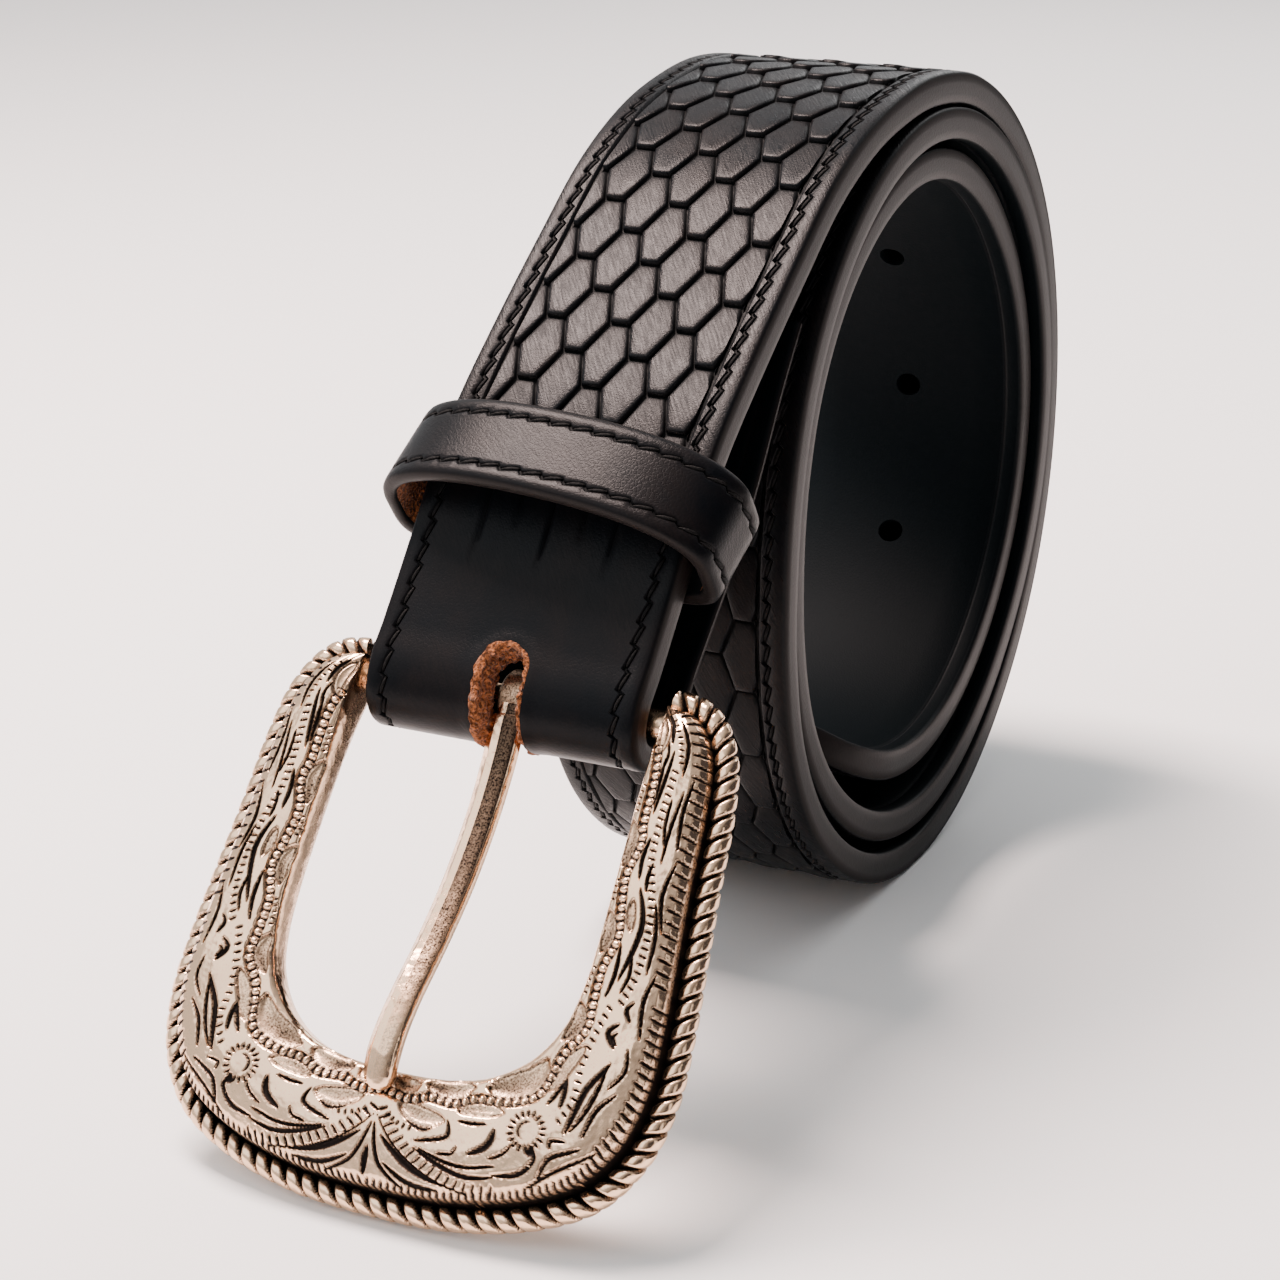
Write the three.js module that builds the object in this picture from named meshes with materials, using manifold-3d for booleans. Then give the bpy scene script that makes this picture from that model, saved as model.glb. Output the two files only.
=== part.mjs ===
// A black leather belt with pressed snakeskin scales, rolled up and stood on its edge, with its engraved
// rope-edge buckle leaning in front. Millimetres: +X across the strap, +Y from the buckle to the coil's back,
// +Z up. The drawing is laid out about the middle of the coil, and the group then sets it on the floor.
import * as THREE from "three";
import { mergeVertices } from "three/addons/utils/BufferGeometryUtils.js";
import Module from "manifold-3d";

const wasm = await Module();
wasm.setup();

// Strap
const STRAP_WIDTH = 38;
const STRAP_THICKNESS = 4.6;
const EDGE_ROUND = 0.9;
const ROUND_OF_THICKNESS = 0.4;
const ROUND_OF_HALF_WIDTH = 0.5;
const ROUND_INSET = 0.7;
const STATION_TURN = THREE.MathUtils.degToRad(7.5);
const STATION_STEP = 8;
const WALK_STEP = 0.25;
const ROUTE_DIVISIONS = 4000;
const POINT_LENGTH = 24;
const POINT_BLUNT = 0.3;
const POINT_CUTS = [0.3, 0.55, 0.75, 0.9, 1];
const FLOOR = -59.9;

// Holes
const HOLE_COUNT = 5;
const HOLE_PITCH = 26.4;
const HOLE_RADIUS = 2;
const HOLE_SIDES = 12;
const PUNCH_LENGTH = STRAP_THICKNESS * 1.3;
const LAST_HOLE_TO_TIP = 80;

// Fold round the bar
const BAR = { x: -0.9, y: -86.8, z: -7.6 };
const BAR_RADIUS = 1.9;
const BAR_SIDES = 16;
const SLOT_WIDTH = 6;
const SLOT_TOP = { y: -90.1, z: 0.6 };
const SLOT_BEHIND_BAR = 12;
const SLOT_END_SHARE = 0.35;
const SLOT_SPARE = 1;

// Keeper
const KEEPER_WIDTH = 13;
const KEEPER_WALL = 2.1;
const KEEPER_HALF_SPAN = 24.1;
const KEEPER_RISE = 10.1;
const KEEPER_DROP = 8.4;
const KEEPER_ARCH = 0.87;
const KEEPER_BELLY = 0.4;
const KEEPER_POINTS = 40;
const KEEPER_BEVEL = 0.5;
const KEEPER_MIDDLE = { x: -0.6, y: -75.4, z: 15.8 };
const KEEPER_LEAN = THREE.MathUtils.degToRad(34.7);
const KEEPER_SKEW = THREE.MathUtils.degToRad(-4.8);

// Buckle: its own frame has the bar at the origin, the frame towards -Y and its face up
const BUCKLE_PITCH = THREE.MathUtils.degToRad(53.7);
const ROPE_RADIUS = 1.55;
const ROPE_LAY = 2.45;
const ROPE_LOBE = 0.22;
const ROPE_SIDES = 8;
const ROPE_RINGS_PER_LAY = 3;
const ROPE_HEIGHT = 2.5;
const ROPE_BITE = 0.7;
const FRAME_STATIONS = 56;
const PRONG_RINGS = 16;
const PRONG_SKEW = THREE.MathUtils.degToRad(-0.6);

// The turned-back end, the fold and the run up to the coil: the grain face, and how thick the leather is
const RUN = [
  { x: -1.0, y: -43.8, z: 32.9, thick: 1.3 },
  { x: -1.0, y: -49.6, z: 25.4, thick: 1.4 },
  { x: -1.0, y: -56.4, z: 15.6, thick: 1.5 },
  { x: -1.0, y: -63.6, z: 6.6, thick: 1.5 },
  { x: -1.0, y: -70.8, z: -0.4, thick: 1.6 },
  { x: -1.0, y: -76.2, z: -5.8, thick: 1.8 },
  { x: -1.0, y: -80.2, z: -10.6, thick: 2.4 },
  { x: -1.0, y: -84.4, z: -13.1, thick: 2.8 },
  { x: -1.0, y: -89.0, z: -13.2, thick: 3.3 },
  { x: -1.0, y: -92.7, z: -11.0, thick: 4.0 },
  { x: -1.0, y: -94.1, z: -7.2, thick: 4.4 },
  { x: -1.0, y: -92.7, z: -2.8, thick: STRAP_THICKNESS },
  { x: -0.9, y: -89.2, z: 1.5, thick: STRAP_THICKNESS },
  { x: -0.8, y: -81.6, z: 11.0, thick: STRAP_THICKNESS },
  { x: -0.7, y: -75.9, z: 18.6, thick: STRAP_THICKNESS },
  { x: -0.6, y: -69.8, z: 25.0, thick: STRAP_THICKNESS },
  { x: -0.5, y: -59.0, z: 33.6, thick: STRAP_THICKNESS },
  { x: -0.4, y: -47.0, z: 42.3, thick: STRAP_THICKNESS },
  { x: -0.3, y: -35.2, z: 50.3, thick: STRAP_THICKNESS },
  { x: -0.2, y: -22.8, z: 55.6, thick: STRAP_THICKNESS },
  { x: -0.1, y: -10.8, z: 58.1, thick: STRAP_THICKNESS },
];

// The coil: outside radius at eight bearings, from the top over to the back, and how far the turn has slipped
// sideways at its top, back, bottom and front
const BEARINGS = ["top", "topBack", "back", "lowBack", "bottom", "lowFront", "front", "topFront"];
const STEPS_PER_BEARING = 3;
const BEARINGS_PER_SLIP = 2;
const TURNS = [
  { top: 58.7, topBack: 57.3, back: 55.5, lowBack: 57.2, bottom: 60.3, lowFront: 57.2, front: 50.8,
    topFront: 52.0 },
  { top: 53.6, topBack: 52.1, back: 50.3, lowBack: 50.8, bottom: 54.0, lowFront: 51.2, front: 45.6,
    topFront: 46.7 },
  { top: 48.0, topBack: 45.4, back: 45.0, lowBack: 44.1, bottom: 44.6, lowFront: 44.2 },
];
const SLIPS = [
  { top: 0, back: 0, bottom: 0, front: 0 },
  { top: 0.3, back: 0.9, bottom: 0, front: -1.4 },
  { top: -1.0, back: -0.7, bottom: -0.6, front: -0.6 },
];

// Half of the buckle frame, from the end of a post down to the middle of the foot: the rope's outside, the
// window's edge, and the heights of the back, of the crown and of the window's edge over the bar
const FRAME = [
  { outX: 22.0, outV: -4.2, inX: 21.4, inV: -1.2, back: -1.2, crown: 4.6, lip: 4.4 },
  { outX: 25.6, outV: -3.6, inX: 21.4, inV: 0.8, back: -1.2, crown: 5.6, lip: 5.2 },
  { outX: 28.8, outV: -1.4, inX: 21.4, inV: 3.4, back: -0.8, crown: 6.4, lip: 5.8 },
  { outX: 31.6, outV: 3.4, inX: 21.4, inV: 6.6, back: 0, crown: 6.9, lip: 6.2 },
  { outX: 32.9, outV: 10.0, inX: 21.4, inV: 12.0, back: 1, crown: 7.1, lip: 6.4 },
  { outX: 33.7, outV: 20.0, inX: 21.5, inV: 20.0, back: 1.6, crown: 7.3, lip: 6.6 },
  { outX: 34.6, outV: 29.0, inX: 21.6, inV: 27.6, back: 1.8, crown: 7.4, lip: 6.8 },
  { outX: 35.4, outV: 38.0, inX: 21.3, inV: 34.6, back: 1.8, crown: 7.6, lip: 6.9 },
  { outX: 35.5, outV: 45.5, inX: 20.2, inV: 39.6, back: 1.6, crown: 7.8, lip: 7.0 },
  { outX: 33.7, outV: 53.0, inX: 17.4, inV: 44.0, back: 1.2, crown: 7.9, lip: 7.0 },
  { outX: 29.3, outV: 59.2, inX: 12.8, inV: 47.2, back: 1, crown: 8.0, lip: 7.0 },
  { outX: 22.0, outV: 63.2, inX: 8.0, inV: 48.6, back: 1, crown: 8.0, lip: 7.0 },
  { outX: 11.5, outV: 65.8, inX: 4.0, inV: 49.0, back: 1, crown: 8.0, lip: 7.0 },
  { outX: 0, outV: 66.4, inX: 0, inV: 49.1, back: 1, crown: 8.0, lip: 7.0 },
];

// Across the frame's face, from the rope's channel (0) to the window (1): "level" is a height from the back
// (0) to the crown (1), and "rim" one from the back to the lip
const FACE = [
  { across: 0, level: 0, rim: 0 },
  { across: 0, level: 0.42, rim: 0 },
  { across: 0.14, level: 0.74, rim: 0 },
  { across: 0.42, level: 1, rim: 0 },
  { across: 0.68, level: 0.95, rim: 0 },
  { across: 0.74, level: 0.86, rim: 0 },
  { across: 0.82, level: 0, rim: 1.02 },
  { across: 0.97, level: 0, rim: 0.97 },
  { across: 1, level: 0, rim: 0.88 },
  { across: 0.94, level: 0, rim: 0 },
];

// The prong from the bar to its tip: distance from the bar, height of its middle, width and depth
const PRONG = [
  { v: -0.6, w: 2.95, width: 4.4, deep: 1.5 },
  { v: 3.0, w: 2.7, width: 4.5, deep: 2.0 },
  { v: 8.0, w: 2.1, width: 4.5, deep: 2.2 },
  { v: 15.0, w: 2.0, width: 4.4, deep: 2.3 },
  { v: 24.0, w: 3.1, width: 4.3, deep: 2.3 },
  { v: 32.4, w: 5.3, width: 4.2, deep: 2.2 },
  { v: 40.4, w: 8.1, width: 4.2, deep: 2.3 },
  { v: 44.5, w: 9.1, width: 4.2, deep: 2.4 },
  { v: 47.6, w: 9.3, width: 4.3, deep: 2.5 },
  { v: 50.4, w: 8.8, width: 4.3, deep: 2.4 },
  { v: 51.6, w: 8.5, width: 3.4, deep: 1.8 },
];
const PRONG_RING = { inner: 2.25, outer: 3.9, sides: 20, width: 4.4 };

// The shank's section, in halves of its width and depth: a flat top and bevelled sides
const PRONG_SECTION = [
  { x: -0.5, h: 1 },
  { x: 0.5, h: 1 },
  { x: 1, h: 0.1 },
  { x: 0.9, h: -0.7 },
  { x: 0.6, h: -1 },
  { x: -0.6, h: -1 },
  { x: -0.9, h: -0.7 },
  { x: -1, h: 0.1 },
];

// Points closer than this are one point
const WELD = 1e-4;

// A closed skin over a row of rings with the same number of points, each ring turning the same way
function skin(rings) {
  const sides = rings[0].length;
  const positions = rings.flat().flatMap((p) => [p.x, p.y, p.z]);
  const faces = [];
  for (let i = 0; i < rings.length - 1; i++) {
    for (let j = 0; j < sides; j++) {
      const k = (j + 1) % sides;
      const near = i * sides;
      const far = near + sides;
      faces.push(near + j, near + k, far + k, near + j, far + k, far + j);
    }
  }
  const last = (rings.length - 1) * sides;
  for (let j = 1; j < sides - 1; j++) {
    faces.push(0, j + 1, j);
    faces.push(last, last + j, last + j + 1);
  }
  const geometry = new THREE.BufferGeometry();
  geometry.setAttribute("position", new THREE.Float32BufferAttribute(positions, 3));
  geometry.setIndex(faces);
  return geometry;
}

// A geometry as a manifold-3d solid, turned to face outwards
function solid(geometry) {
  const bare = geometry.index ? geometry.toNonIndexed() : geometry.clone();
  const whole = new THREE.BufferGeometry();
  whole.setAttribute("position", bare.getAttribute("position"));
  const merged = mergeVertices(whole, WELD);
  const vertProperties = new Float32Array(merged.getAttribute("position").array);
  const triVerts = new Uint32Array(merged.index.array);
  const made = new wasm.Manifold(new wasm.Mesh({ numProp: 3, vertProperties, triVerts }));
  if (made.volume() > 0) return made;
  for (let i = 0; i < triVerts.length; i += 3) {
    [triVerts[i + 1], triVerts[i + 2]] = [triVerts[i + 2], triVerts[i + 1]];
  }
  return new wasm.Manifold(new wasm.Mesh({ numProp: 3, vertProperties, triVerts }));
}

// A solid back as geometry
function shape(manifold) {
  const mesh = manifold.getMesh();
  const positions = [];
  for (let i = 0; i < mesh.numVert; i++) {
    positions.push(...mesh.vertProperties.subarray(i * mesh.numProp, i * mesh.numProp + 3));
  }
  const geometry = new THREE.BufferGeometry();
  geometry.setAttribute("position", new THREE.Float32BufferAttribute(positions, 3));
  geometry.setIndex(Array.from(mesh.triVerts));
  geometry.computeVertexNormals();
  return geometry;
}

// Value of a column between two rows of a table, at a place counted in rows
function between(rows, place, column) {
  const i = Math.min(Math.floor(place), rows.length - 2);
  return THREE.MathUtils.lerp(rows[i][column], rows[i + 1][column], place - i);
}

// Every row of the strap's route: the run, then the turns of the coil
function routeRows() {
  const radii = TURNS.flatMap((turn) => BEARINGS.filter((name) => turn[name]).map((name) => turn[name]));
  const slips = SLIPS.flatMap((turn) => Object.values(turn));
  const radius = new THREE.SplineCurve(radii.map((r, i) => new THREE.Vector2(i, r)));
  const slip = new THREE.SplineCurve(slips.map((x, i) => new THREE.Vector2(i, x)));
  const turned = radii.length - 1;
  const rows = [...RUN];
  for (let i = 0; i <= turned * STEPS_PER_BEARING; i++) {
    const bearing = i / STEPS_PER_BEARING;
    const angle = Math.PI / 2 - (bearing / BEARINGS.length) * Math.PI * 2;
    const r = radius.getPoint(bearing / turned).y;
    const x = slip.getPoint(bearing / BEARINGS_PER_SLIP / (slips.length - 1)).y;
    rows.push({ x, y: r * Math.cos(angle), z: r * Math.sin(angle), thick: STRAP_THICKNESS });
  }
  return rows;
}

const ROWS = routeRows();
const ROUTE_POINTS = ROWS.map((r) => new THREE.Vector3(r.x, r.y, r.z));
const ROUTE = new THREE.CatmullRomCurve3(ROUTE_POINTS, false, "centripetal");
ROUTE.arcLengthDivisions = ROUTE_DIVISIONS;
const STRAP_LENGTH = ROUTE.getLength();

// The strap at a distance from the turned-back end: its grain face, its outward normal and its thickness
function strapAt(distance) {
  const t = ROUTE.getUtoTmapping(0, distance);
  const at = ROUTE.getPoint(t);
  const along = ROUTE.getTangent(t);
  const out = new THREE.Vector3(0, -along.z, along.y).normalize();
  return { at, along, out, thick: between(ROWS, t * (ROWS.length - 1), "thick") };
}

// A point of the strap: across it, and deep below its grain face, pressed flat where it meets the floor
function strapPoint(distance, across, deep) {
  const here = strapAt(distance);
  const point = here.at.clone().addScaledVector(here.out, -deep);
  return point.set(point.x + across, point.y, Math.max(point.z, FLOOR));
}

// The distance along the strap that passes closest to a point of the side view, between two distances
function nearestDistance(y, z, from, to) {
  let best = from;
  let least = Infinity;
  for (let s = from; s <= to; s += WALK_STEP) {
    const at = strapAt(s).at;
    const gap = Math.hypot(at.y - y, at.z - z);
    if (gap < least) {
      least = gap;
      best = s;
    }
  }
  return best;
}

// Distances of the strap's sections: a new one wherever it has turned enough or run on far enough
function stations(from, to, turn) {
  const found = [from];
  let heading = strapAt(from).along;
  for (let s = from + WALK_STEP; s < to; s += WALK_STEP) {
    const now = strapAt(s).along;
    const enough = now.angleTo(heading) > turn || s - found.at(-1) > STATION_STEP;
    if (enough && to - s > WALK_STEP * 2) {
      found.push(s);
      heading = now;
    }
  }
  found.push(to);
  return found;
}

// One section of the strap, with rounded edges
function strapSection(distance, halfWidth) {
  const { thick } = strapAt(distance);
  const round = Math.min(EDGE_ROUND, thick * ROUND_OF_THICKNESS, halfWidth * ROUND_OF_HALF_WIDTH);
  const inset = halfWidth - round * ROUND_INSET;
  return [
    strapPoint(distance, -inset, 0),
    strapPoint(distance, inset, 0),
    strapPoint(distance, halfWidth, round),
    strapPoint(distance, halfWidth, thick - round),
    strapPoint(distance, inset, thick),
    strapPoint(distance, -inset, thick),
    strapPoint(distance, -halfWidth, thick - round),
    strapPoint(distance, -halfWidth, round),
  ];
}

// Half width of the strap, which narrows to a blunt rounded point at its tip
function halfWidthAt(distance) {
  const left = (STRAP_LENGTH - distance) / POINT_LENGTH;
  if (left >= 1) return STRAP_WIDTH / 2;
  const round = Math.sqrt(1 - (1 - left) ** 2);
  return (STRAP_WIDTH / 2) * THREE.MathUtils.lerp(POINT_BLUNT, 1, round);
}

function strapBody() {
  const pointStart = STRAP_LENGTH - POINT_LENGTH;
  const cuts = stations(0, pointStart, STATION_TURN);
  POINT_CUTS.forEach((share) => cuts.push(pointStart + POINT_LENGTH * share));
  const rings = cuts.map((s) => strapSection(s, halfWidthAt(s)));
  return solid(skin(rings));
}

function punchedHoles() {
  let punches;
  for (let i = 0; i < HOLE_COUNT; i++) {
    const distance = STRAP_LENGTH - LAST_HOLE_TO_TIP - i * HOLE_PITCH;
    const { out } = strapAt(distance);
    const punch = new THREE.CylinderGeometry(HOLE_RADIUS, HOLE_RADIUS, PUNCH_LENGTH, HOLE_SIDES);
    const turn = new THREE.Quaternion().setFromUnitVectors(new THREE.Vector3(0, 1, 0), out);
    punch.applyQuaternion(turn);
    const middle = strapPoint(distance, 0, STRAP_THICKNESS / 2);
    punch.translate(middle.x, middle.y, middle.z);
    punches = punches ? punches.add(solid(punch)) : solid(punch);
  }
  return punches;
}

// The slot for the prong, cut right round the fold
function prongSlot() {
  const lowest = nearestDistance(BAR.y, BAR.z - STRAP_WIDTH, 0, STRAP_LENGTH / 4);
  const top = nearestDistance(SLOT_TOP.y, SLOT_TOP.z, lowest, lowest + STRAP_WIDTH);
  const from = lowest - SLOT_BEHIND_BAR;
  const cuts = stations(from, top, STATION_TURN);
  const rings = cuts.map((s) => {
    const end = Math.min(s - from, top - s, SLOT_WIDTH / 2);
    const round = Math.sqrt(1 - (1 - end / (SLOT_WIDTH / 2)) ** 2);
    const half = (SLOT_WIDTH / 2) * THREE.MathUtils.lerp(SLOT_END_SHARE, 1, round);
    const deep = strapAt(s).thick + SLOT_SPARE;
    return [
      strapPoint(s, -half, -SLOT_SPARE),
      strapPoint(s, half, -SLOT_SPARE),
      strapPoint(s, half, deep),
      strapPoint(s, -half, deep),
    ];
  });
  return solid(skin(rings));
}

// Keeper: a flat oval loop, cut from a strip that is turned on its edge
function oval(halfSpan, rise, drop) {
  const points = [];
  for (let i = 0; i < KEEPER_POINTS; i++) {
    const angle = (i / KEEPER_POINTS) * Math.PI * 2;
    const c = Math.cos(angle);
    const s = Math.sin(angle);
    const power = s > 0 ? KEEPER_ARCH : KEEPER_BELLY;
    const x = halfSpan * Math.sign(c) * Math.abs(c) ** power;
    const y = (s > 0 ? rise : drop) * Math.sign(s) * Math.abs(s) ** power;
    points.push(new THREE.Vector2(x, y));
  }
  return points;
}

function keeperLoop() {
  const outline = new THREE.Shape(oval(KEEPER_HALF_SPAN, KEEPER_RISE, KEEPER_DROP));
  const inside = oval(KEEPER_HALF_SPAN - KEEPER_WALL, KEEPER_RISE - KEEPER_WALL, KEEPER_DROP - KEEPER_WALL);
  outline.holes.push(new THREE.Path(inside.reverse()));
  const loop = new THREE.ExtrudeGeometry(outline, {
    depth: KEEPER_WIDTH - 2 * KEEPER_BEVEL,
    bevelEnabled: true,
    bevelThickness: KEEPER_BEVEL,
    bevelSize: KEEPER_BEVEL,
    bevelOffset: -KEEPER_BEVEL,
    bevelSegments: 1,
  });
  return loop.translate(0, 0, KEEPER_BEVEL - KEEPER_WIDTH / 2);
}

// Buckle frame: the outline's two curves, for the whole U from one post to the other
function wholeU(xColumn, vColumn) {
  const half = FRAME.map((row) => new THREE.Vector3(row[xColumn], -row[vColumn], 0));
  const other = half.slice(0, -1).reverse().map((p) => new THREE.Vector3(-p.x, p.y, 0));
  return new THREE.CatmullRomCurve3([...half, ...other], false, "centripetal");
}

const OUTSIDE = wholeU("outX", "outV");
const INSIDE = wholeU("inX", "inV");

// A height of the frame at a place along the U, read from the half's rows
function frameHeight(t, column) {
  const place = t * (2 * FRAME.length - 2);
  const last = FRAME.length - 1;
  return between(FRAME, place > last ? 2 * last - place : place, column);
}

// The rope's middle line, inside its outer edge
function ropeLine(t) {
  const along = OUTSIDE.getTangent(t);
  const inward = new THREE.Vector3(along.y, -along.x, 0);
  return { at: OUTSIDE.getPoint(t).addScaledVector(inward, ROPE_RADIUS), inward };
}

function frameFace() {
  const rings = [];
  for (let i = 0; i <= FRAME_STATIONS; i++) {
    const t = i / FRAME_STATIONS;
    const { at, inward } = ropeLine(t);
    const channel = at.clone().addScaledVector(inward, ROPE_RADIUS - ROPE_BITE);
    const window = INSIDE.getPoint(t);
    const back = frameHeight(t, "back");
    const crown = frameHeight(t, "crown");
    const lip = frameHeight(t, "lip");
    rings.push(
      FACE.map(({ across, level, rim }) => {
        const height = THREE.MathUtils.lerp(back, rim ? lip : crown, rim || level);
        return channel.clone().lerp(window, across).setZ(height);
      }),
    );
  }
  return solid(skin(rings));
}

// The rope edge: a cord whose strands wind round it
function ropeEdge() {
  const length = OUTSIDE.getLength();
  const lays = Math.round(length / ROPE_LAY);
  const count = lays * ROPE_RINGS_PER_LAY;
  const rings = [];
  for (let i = 0; i <= count; i++) {
    const t = OUTSIDE.getUtoTmapping(i / count);
    const { at, inward } = ropeLine(t);
    const ring = [];
    for (let j = 0; j < ROPE_SIDES; j++) {
      const angle = (j / ROPE_SIDES) * Math.PI * 2;
      const strand = Math.cos((i / ROPE_RINGS_PER_LAY) * Math.PI * 2 + angle);
      const radius = ROPE_RADIUS - ROPE_LOBE + ROPE_LOBE * strand;
      const point = at.clone().addScaledVector(inward, radius * Math.cos(angle));
      ring.push(point.setZ(ROPE_HEIGHT + radius * Math.sin(angle)));
    }
    rings.push(ring);
  }
  return solid(skin(rings));
}

function heelBar() {
  const length = 2 * FRAME[0].inX + 2 * ROPE_RADIUS;
  return solid(new THREE.CylinderGeometry(BAR_RADIUS, BAR_RADIUS, length, BAR_SIDES).rotateZ(Math.PI / 2));
}

// Prong: a ring on the bar, and a shank that runs out over the window to the foot
function prongShank() {
  const points = PRONG.map((r) => new THREE.Vector3(0, -r.v, r.w));
  const middle = new THREE.CatmullRomCurve3(points, false, "centripetal");
  const rings = [];
  for (let i = 0; i <= PRONG_RINGS; i++) {
    const t = i / PRONG_RINGS;
    const place = t * (PRONG.length - 1);
    const half = between(PRONG, place, "width") / 2;
    const deep = between(PRONG, place, "deep") / 2;
    const at = middle.getPoint(t);
    const along = middle.getTangent(t);
    const up = new THREE.Vector3(0, -along.z, along.y).normalize();
    if (up.z < 0) up.negate();
    rings.push(PRONG_SECTION.map(({ x, h }) => at.clone().addScaledVector(up, h * deep).setX(x * half)));
  }
  return solid(skin(rings));
}

function prongBody() {
  const { inner, outer, sides, width } = PRONG_RING;
  const profile = [
    [inner, -width / 2],
    [outer, -width / 2],
    [outer, width / 2],
    [inner, width / 2],
    [inner, -width / 2],
  ].map(([r, y]) => new THREE.Vector2(r, y));
  const ring = solid(new THREE.LatheGeometry(profile, sides).rotateZ(Math.PI / 2));
  const clearance = new THREE.CylinderGeometry(inner, inner, width * 2, sides).rotateZ(Math.PI / 2);
  return ring.add(prongShank()).subtract(solid(clearance));
}

// Materials
const leather = new THREE.MeshStandardMaterial({ color: 0x24211f, roughness: 0.5, metalness: 0 });
const silver = new THREE.MeshStandardMaterial({ color: 0xd9c7b0, roughness: 0.22, metalness: 1 });

function piece(name, geometry, material) {
  const mesh = new THREE.Mesh(geometry, material);
  mesh.name = name;
  return mesh;
}

const belt = new THREE.Group();

belt.add(piece("strap", shape(strapBody().subtract(punchedHoles()).subtract(prongSlot())), leather));

const keeper = piece("keeper", keeperLoop(), leather);
keeper.position.set(KEEPER_MIDDLE.x, KEEPER_MIDDLE.y, KEEPER_MIDDLE.z);
keeper.rotation.set(KEEPER_LEAN + Math.PI / 2, KEEPER_SKEW, 0);
belt.add(keeper);

const buckle = new THREE.Group();
buckle.add(piece("buckle_frame", shape(frameFace().add(ropeEdge()).add(heelBar())), silver));
const prong = piece("prong", shape(prongBody()), silver);
prong.rotation.z = PRONG_SKEW;
buckle.add(prong);
buckle.position.set(BAR.x, BAR.y, BAR.z);
buckle.rotation.x = BUCKLE_PITCH;
belt.add(buckle);

// The belt stands on the floor, with the middle of its box over the origin
const stand = new THREE.Group();
stand.add(belt);
stand.updateMatrixWorld(true);
const box = new THREE.Box3().setFromObject(stand, true);
const middle = box.getCenter(new THREE.Vector3());
belt.position.set(-middle.x, -middle.y, -box.min.z);

export default stand;
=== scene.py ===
"""A black snakeskin belt, rolled up, with its engraved rope-edge buckle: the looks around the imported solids.

Lengths are in millimetres until a piece is placed. The drawing has the coil's middle at its origin, and
DRAWING_AT takes it to the part's frame. A strip of the strap is modelled flat, with +X along it, +Y out of
its grain face and +Z across it, and then bent along the route that the solid follows.
"""
import math
import bpy
import numpy as np
from mathutils import Matrix, Vector


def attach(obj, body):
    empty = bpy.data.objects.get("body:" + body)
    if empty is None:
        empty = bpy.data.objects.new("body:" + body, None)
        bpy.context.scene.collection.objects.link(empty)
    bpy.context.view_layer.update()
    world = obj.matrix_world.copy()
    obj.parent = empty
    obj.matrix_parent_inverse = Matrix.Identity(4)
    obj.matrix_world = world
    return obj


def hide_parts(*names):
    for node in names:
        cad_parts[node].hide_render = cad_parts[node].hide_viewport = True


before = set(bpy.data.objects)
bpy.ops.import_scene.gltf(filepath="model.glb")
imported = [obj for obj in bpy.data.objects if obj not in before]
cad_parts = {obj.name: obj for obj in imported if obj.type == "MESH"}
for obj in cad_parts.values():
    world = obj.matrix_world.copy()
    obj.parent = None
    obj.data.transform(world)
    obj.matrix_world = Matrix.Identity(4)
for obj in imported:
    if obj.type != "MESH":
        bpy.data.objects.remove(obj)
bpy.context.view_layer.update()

MM = 0.001
DRAWING_AT = Vector((0.9, 36.637, 59.909))

# Strap
STRAP_WIDTH = 38.0
HALF = STRAP_WIDTH / 2
THICK = 4.6
FLOOR = -59.9
POINT_LENGTH = 24.0
POINT_BLUNT = 0.3
HOLE_COUNT = 5
HOLE_PITCH = 26.4
HOLE_RADIUS = 2.0
LAST_HOLE_TO_TIP = 80.0
PUNCH_LENGTH = 16.0
ROUTE_STEP = 0.5
ROUTE_SAMPLES = 6000
BEARING_STEPS = 3

# The grain face of the turned-back end, the fold and the run up to the coil, and the leather's thickness
RUN = [
    (-1.0, -43.8, 32.9, 1.3),
    (-1.0, -49.6, 25.4, 1.4),
    (-1.0, -56.4, 15.6, 1.5),
    (-1.0, -63.6, 6.6, 1.5),
    (-1.0, -70.8, -0.4, 1.6),
    (-1.0, -76.2, -5.8, 1.8),
    (-1.0, -80.2, -10.6, 2.4),
    (-1.0, -84.4, -13.1, 2.8),
    (-1.0, -89.0, -13.2, 3.3),
    (-1.0, -92.7, -11.0, 4.0),
    (-1.0, -94.1, -7.2, 4.4),
    (-1.0, -92.7, -2.8, THICK),
    (-0.9, -89.2, 1.5, THICK),
    (-0.8, -81.6, 11.0, THICK),
    (-0.7, -75.9, 18.6, THICK),
    (-0.6, -69.8, 25.0, THICK),
    (-0.5, -59.0, 33.6, THICK),
    (-0.4, -47.0, 42.3, THICK),
    (-0.3, -35.2, 50.3, THICK),
    (-0.2, -22.8, 55.6, THICK),
    (-0.1, -10.8, 58.1, THICK),
]
# The coil's outside radius every 45 degrees, from the top over to the back, and its sideways slip every 90
RADII = [
    58.7, 57.3, 55.5, 57.2, 60.3, 57.2, 50.8, 52.0,
    53.6, 52.1, 50.3, 50.8, 54.0, 51.2, 45.6, 46.7,
    48.0, 45.4, 45.0, 44.1, 44.6, 44.2,
]
SLIPS = [0, 0, 0, 0, 0.3, 0.9, 0, -1.4, -1.0, -0.7, -0.6, -0.6]

# Pressed scales: staggered hexagons, and the border round them
SCALE_ACROSS = 9.35
SCALE_ALONG = 10.4
FIELD_HALF = 14.6
FIELD_SHIFT = 1.1
STITCH_PITCH = 3.0
STITCH_LINE = 16.3

# Buckle: its own frame has the bar at the origin, the frame towards -Y and its face up
BAR = Vector((-0.9, -86.8, -7.6))
BUCKLE_PITCH = math.radians(53.7)


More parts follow.
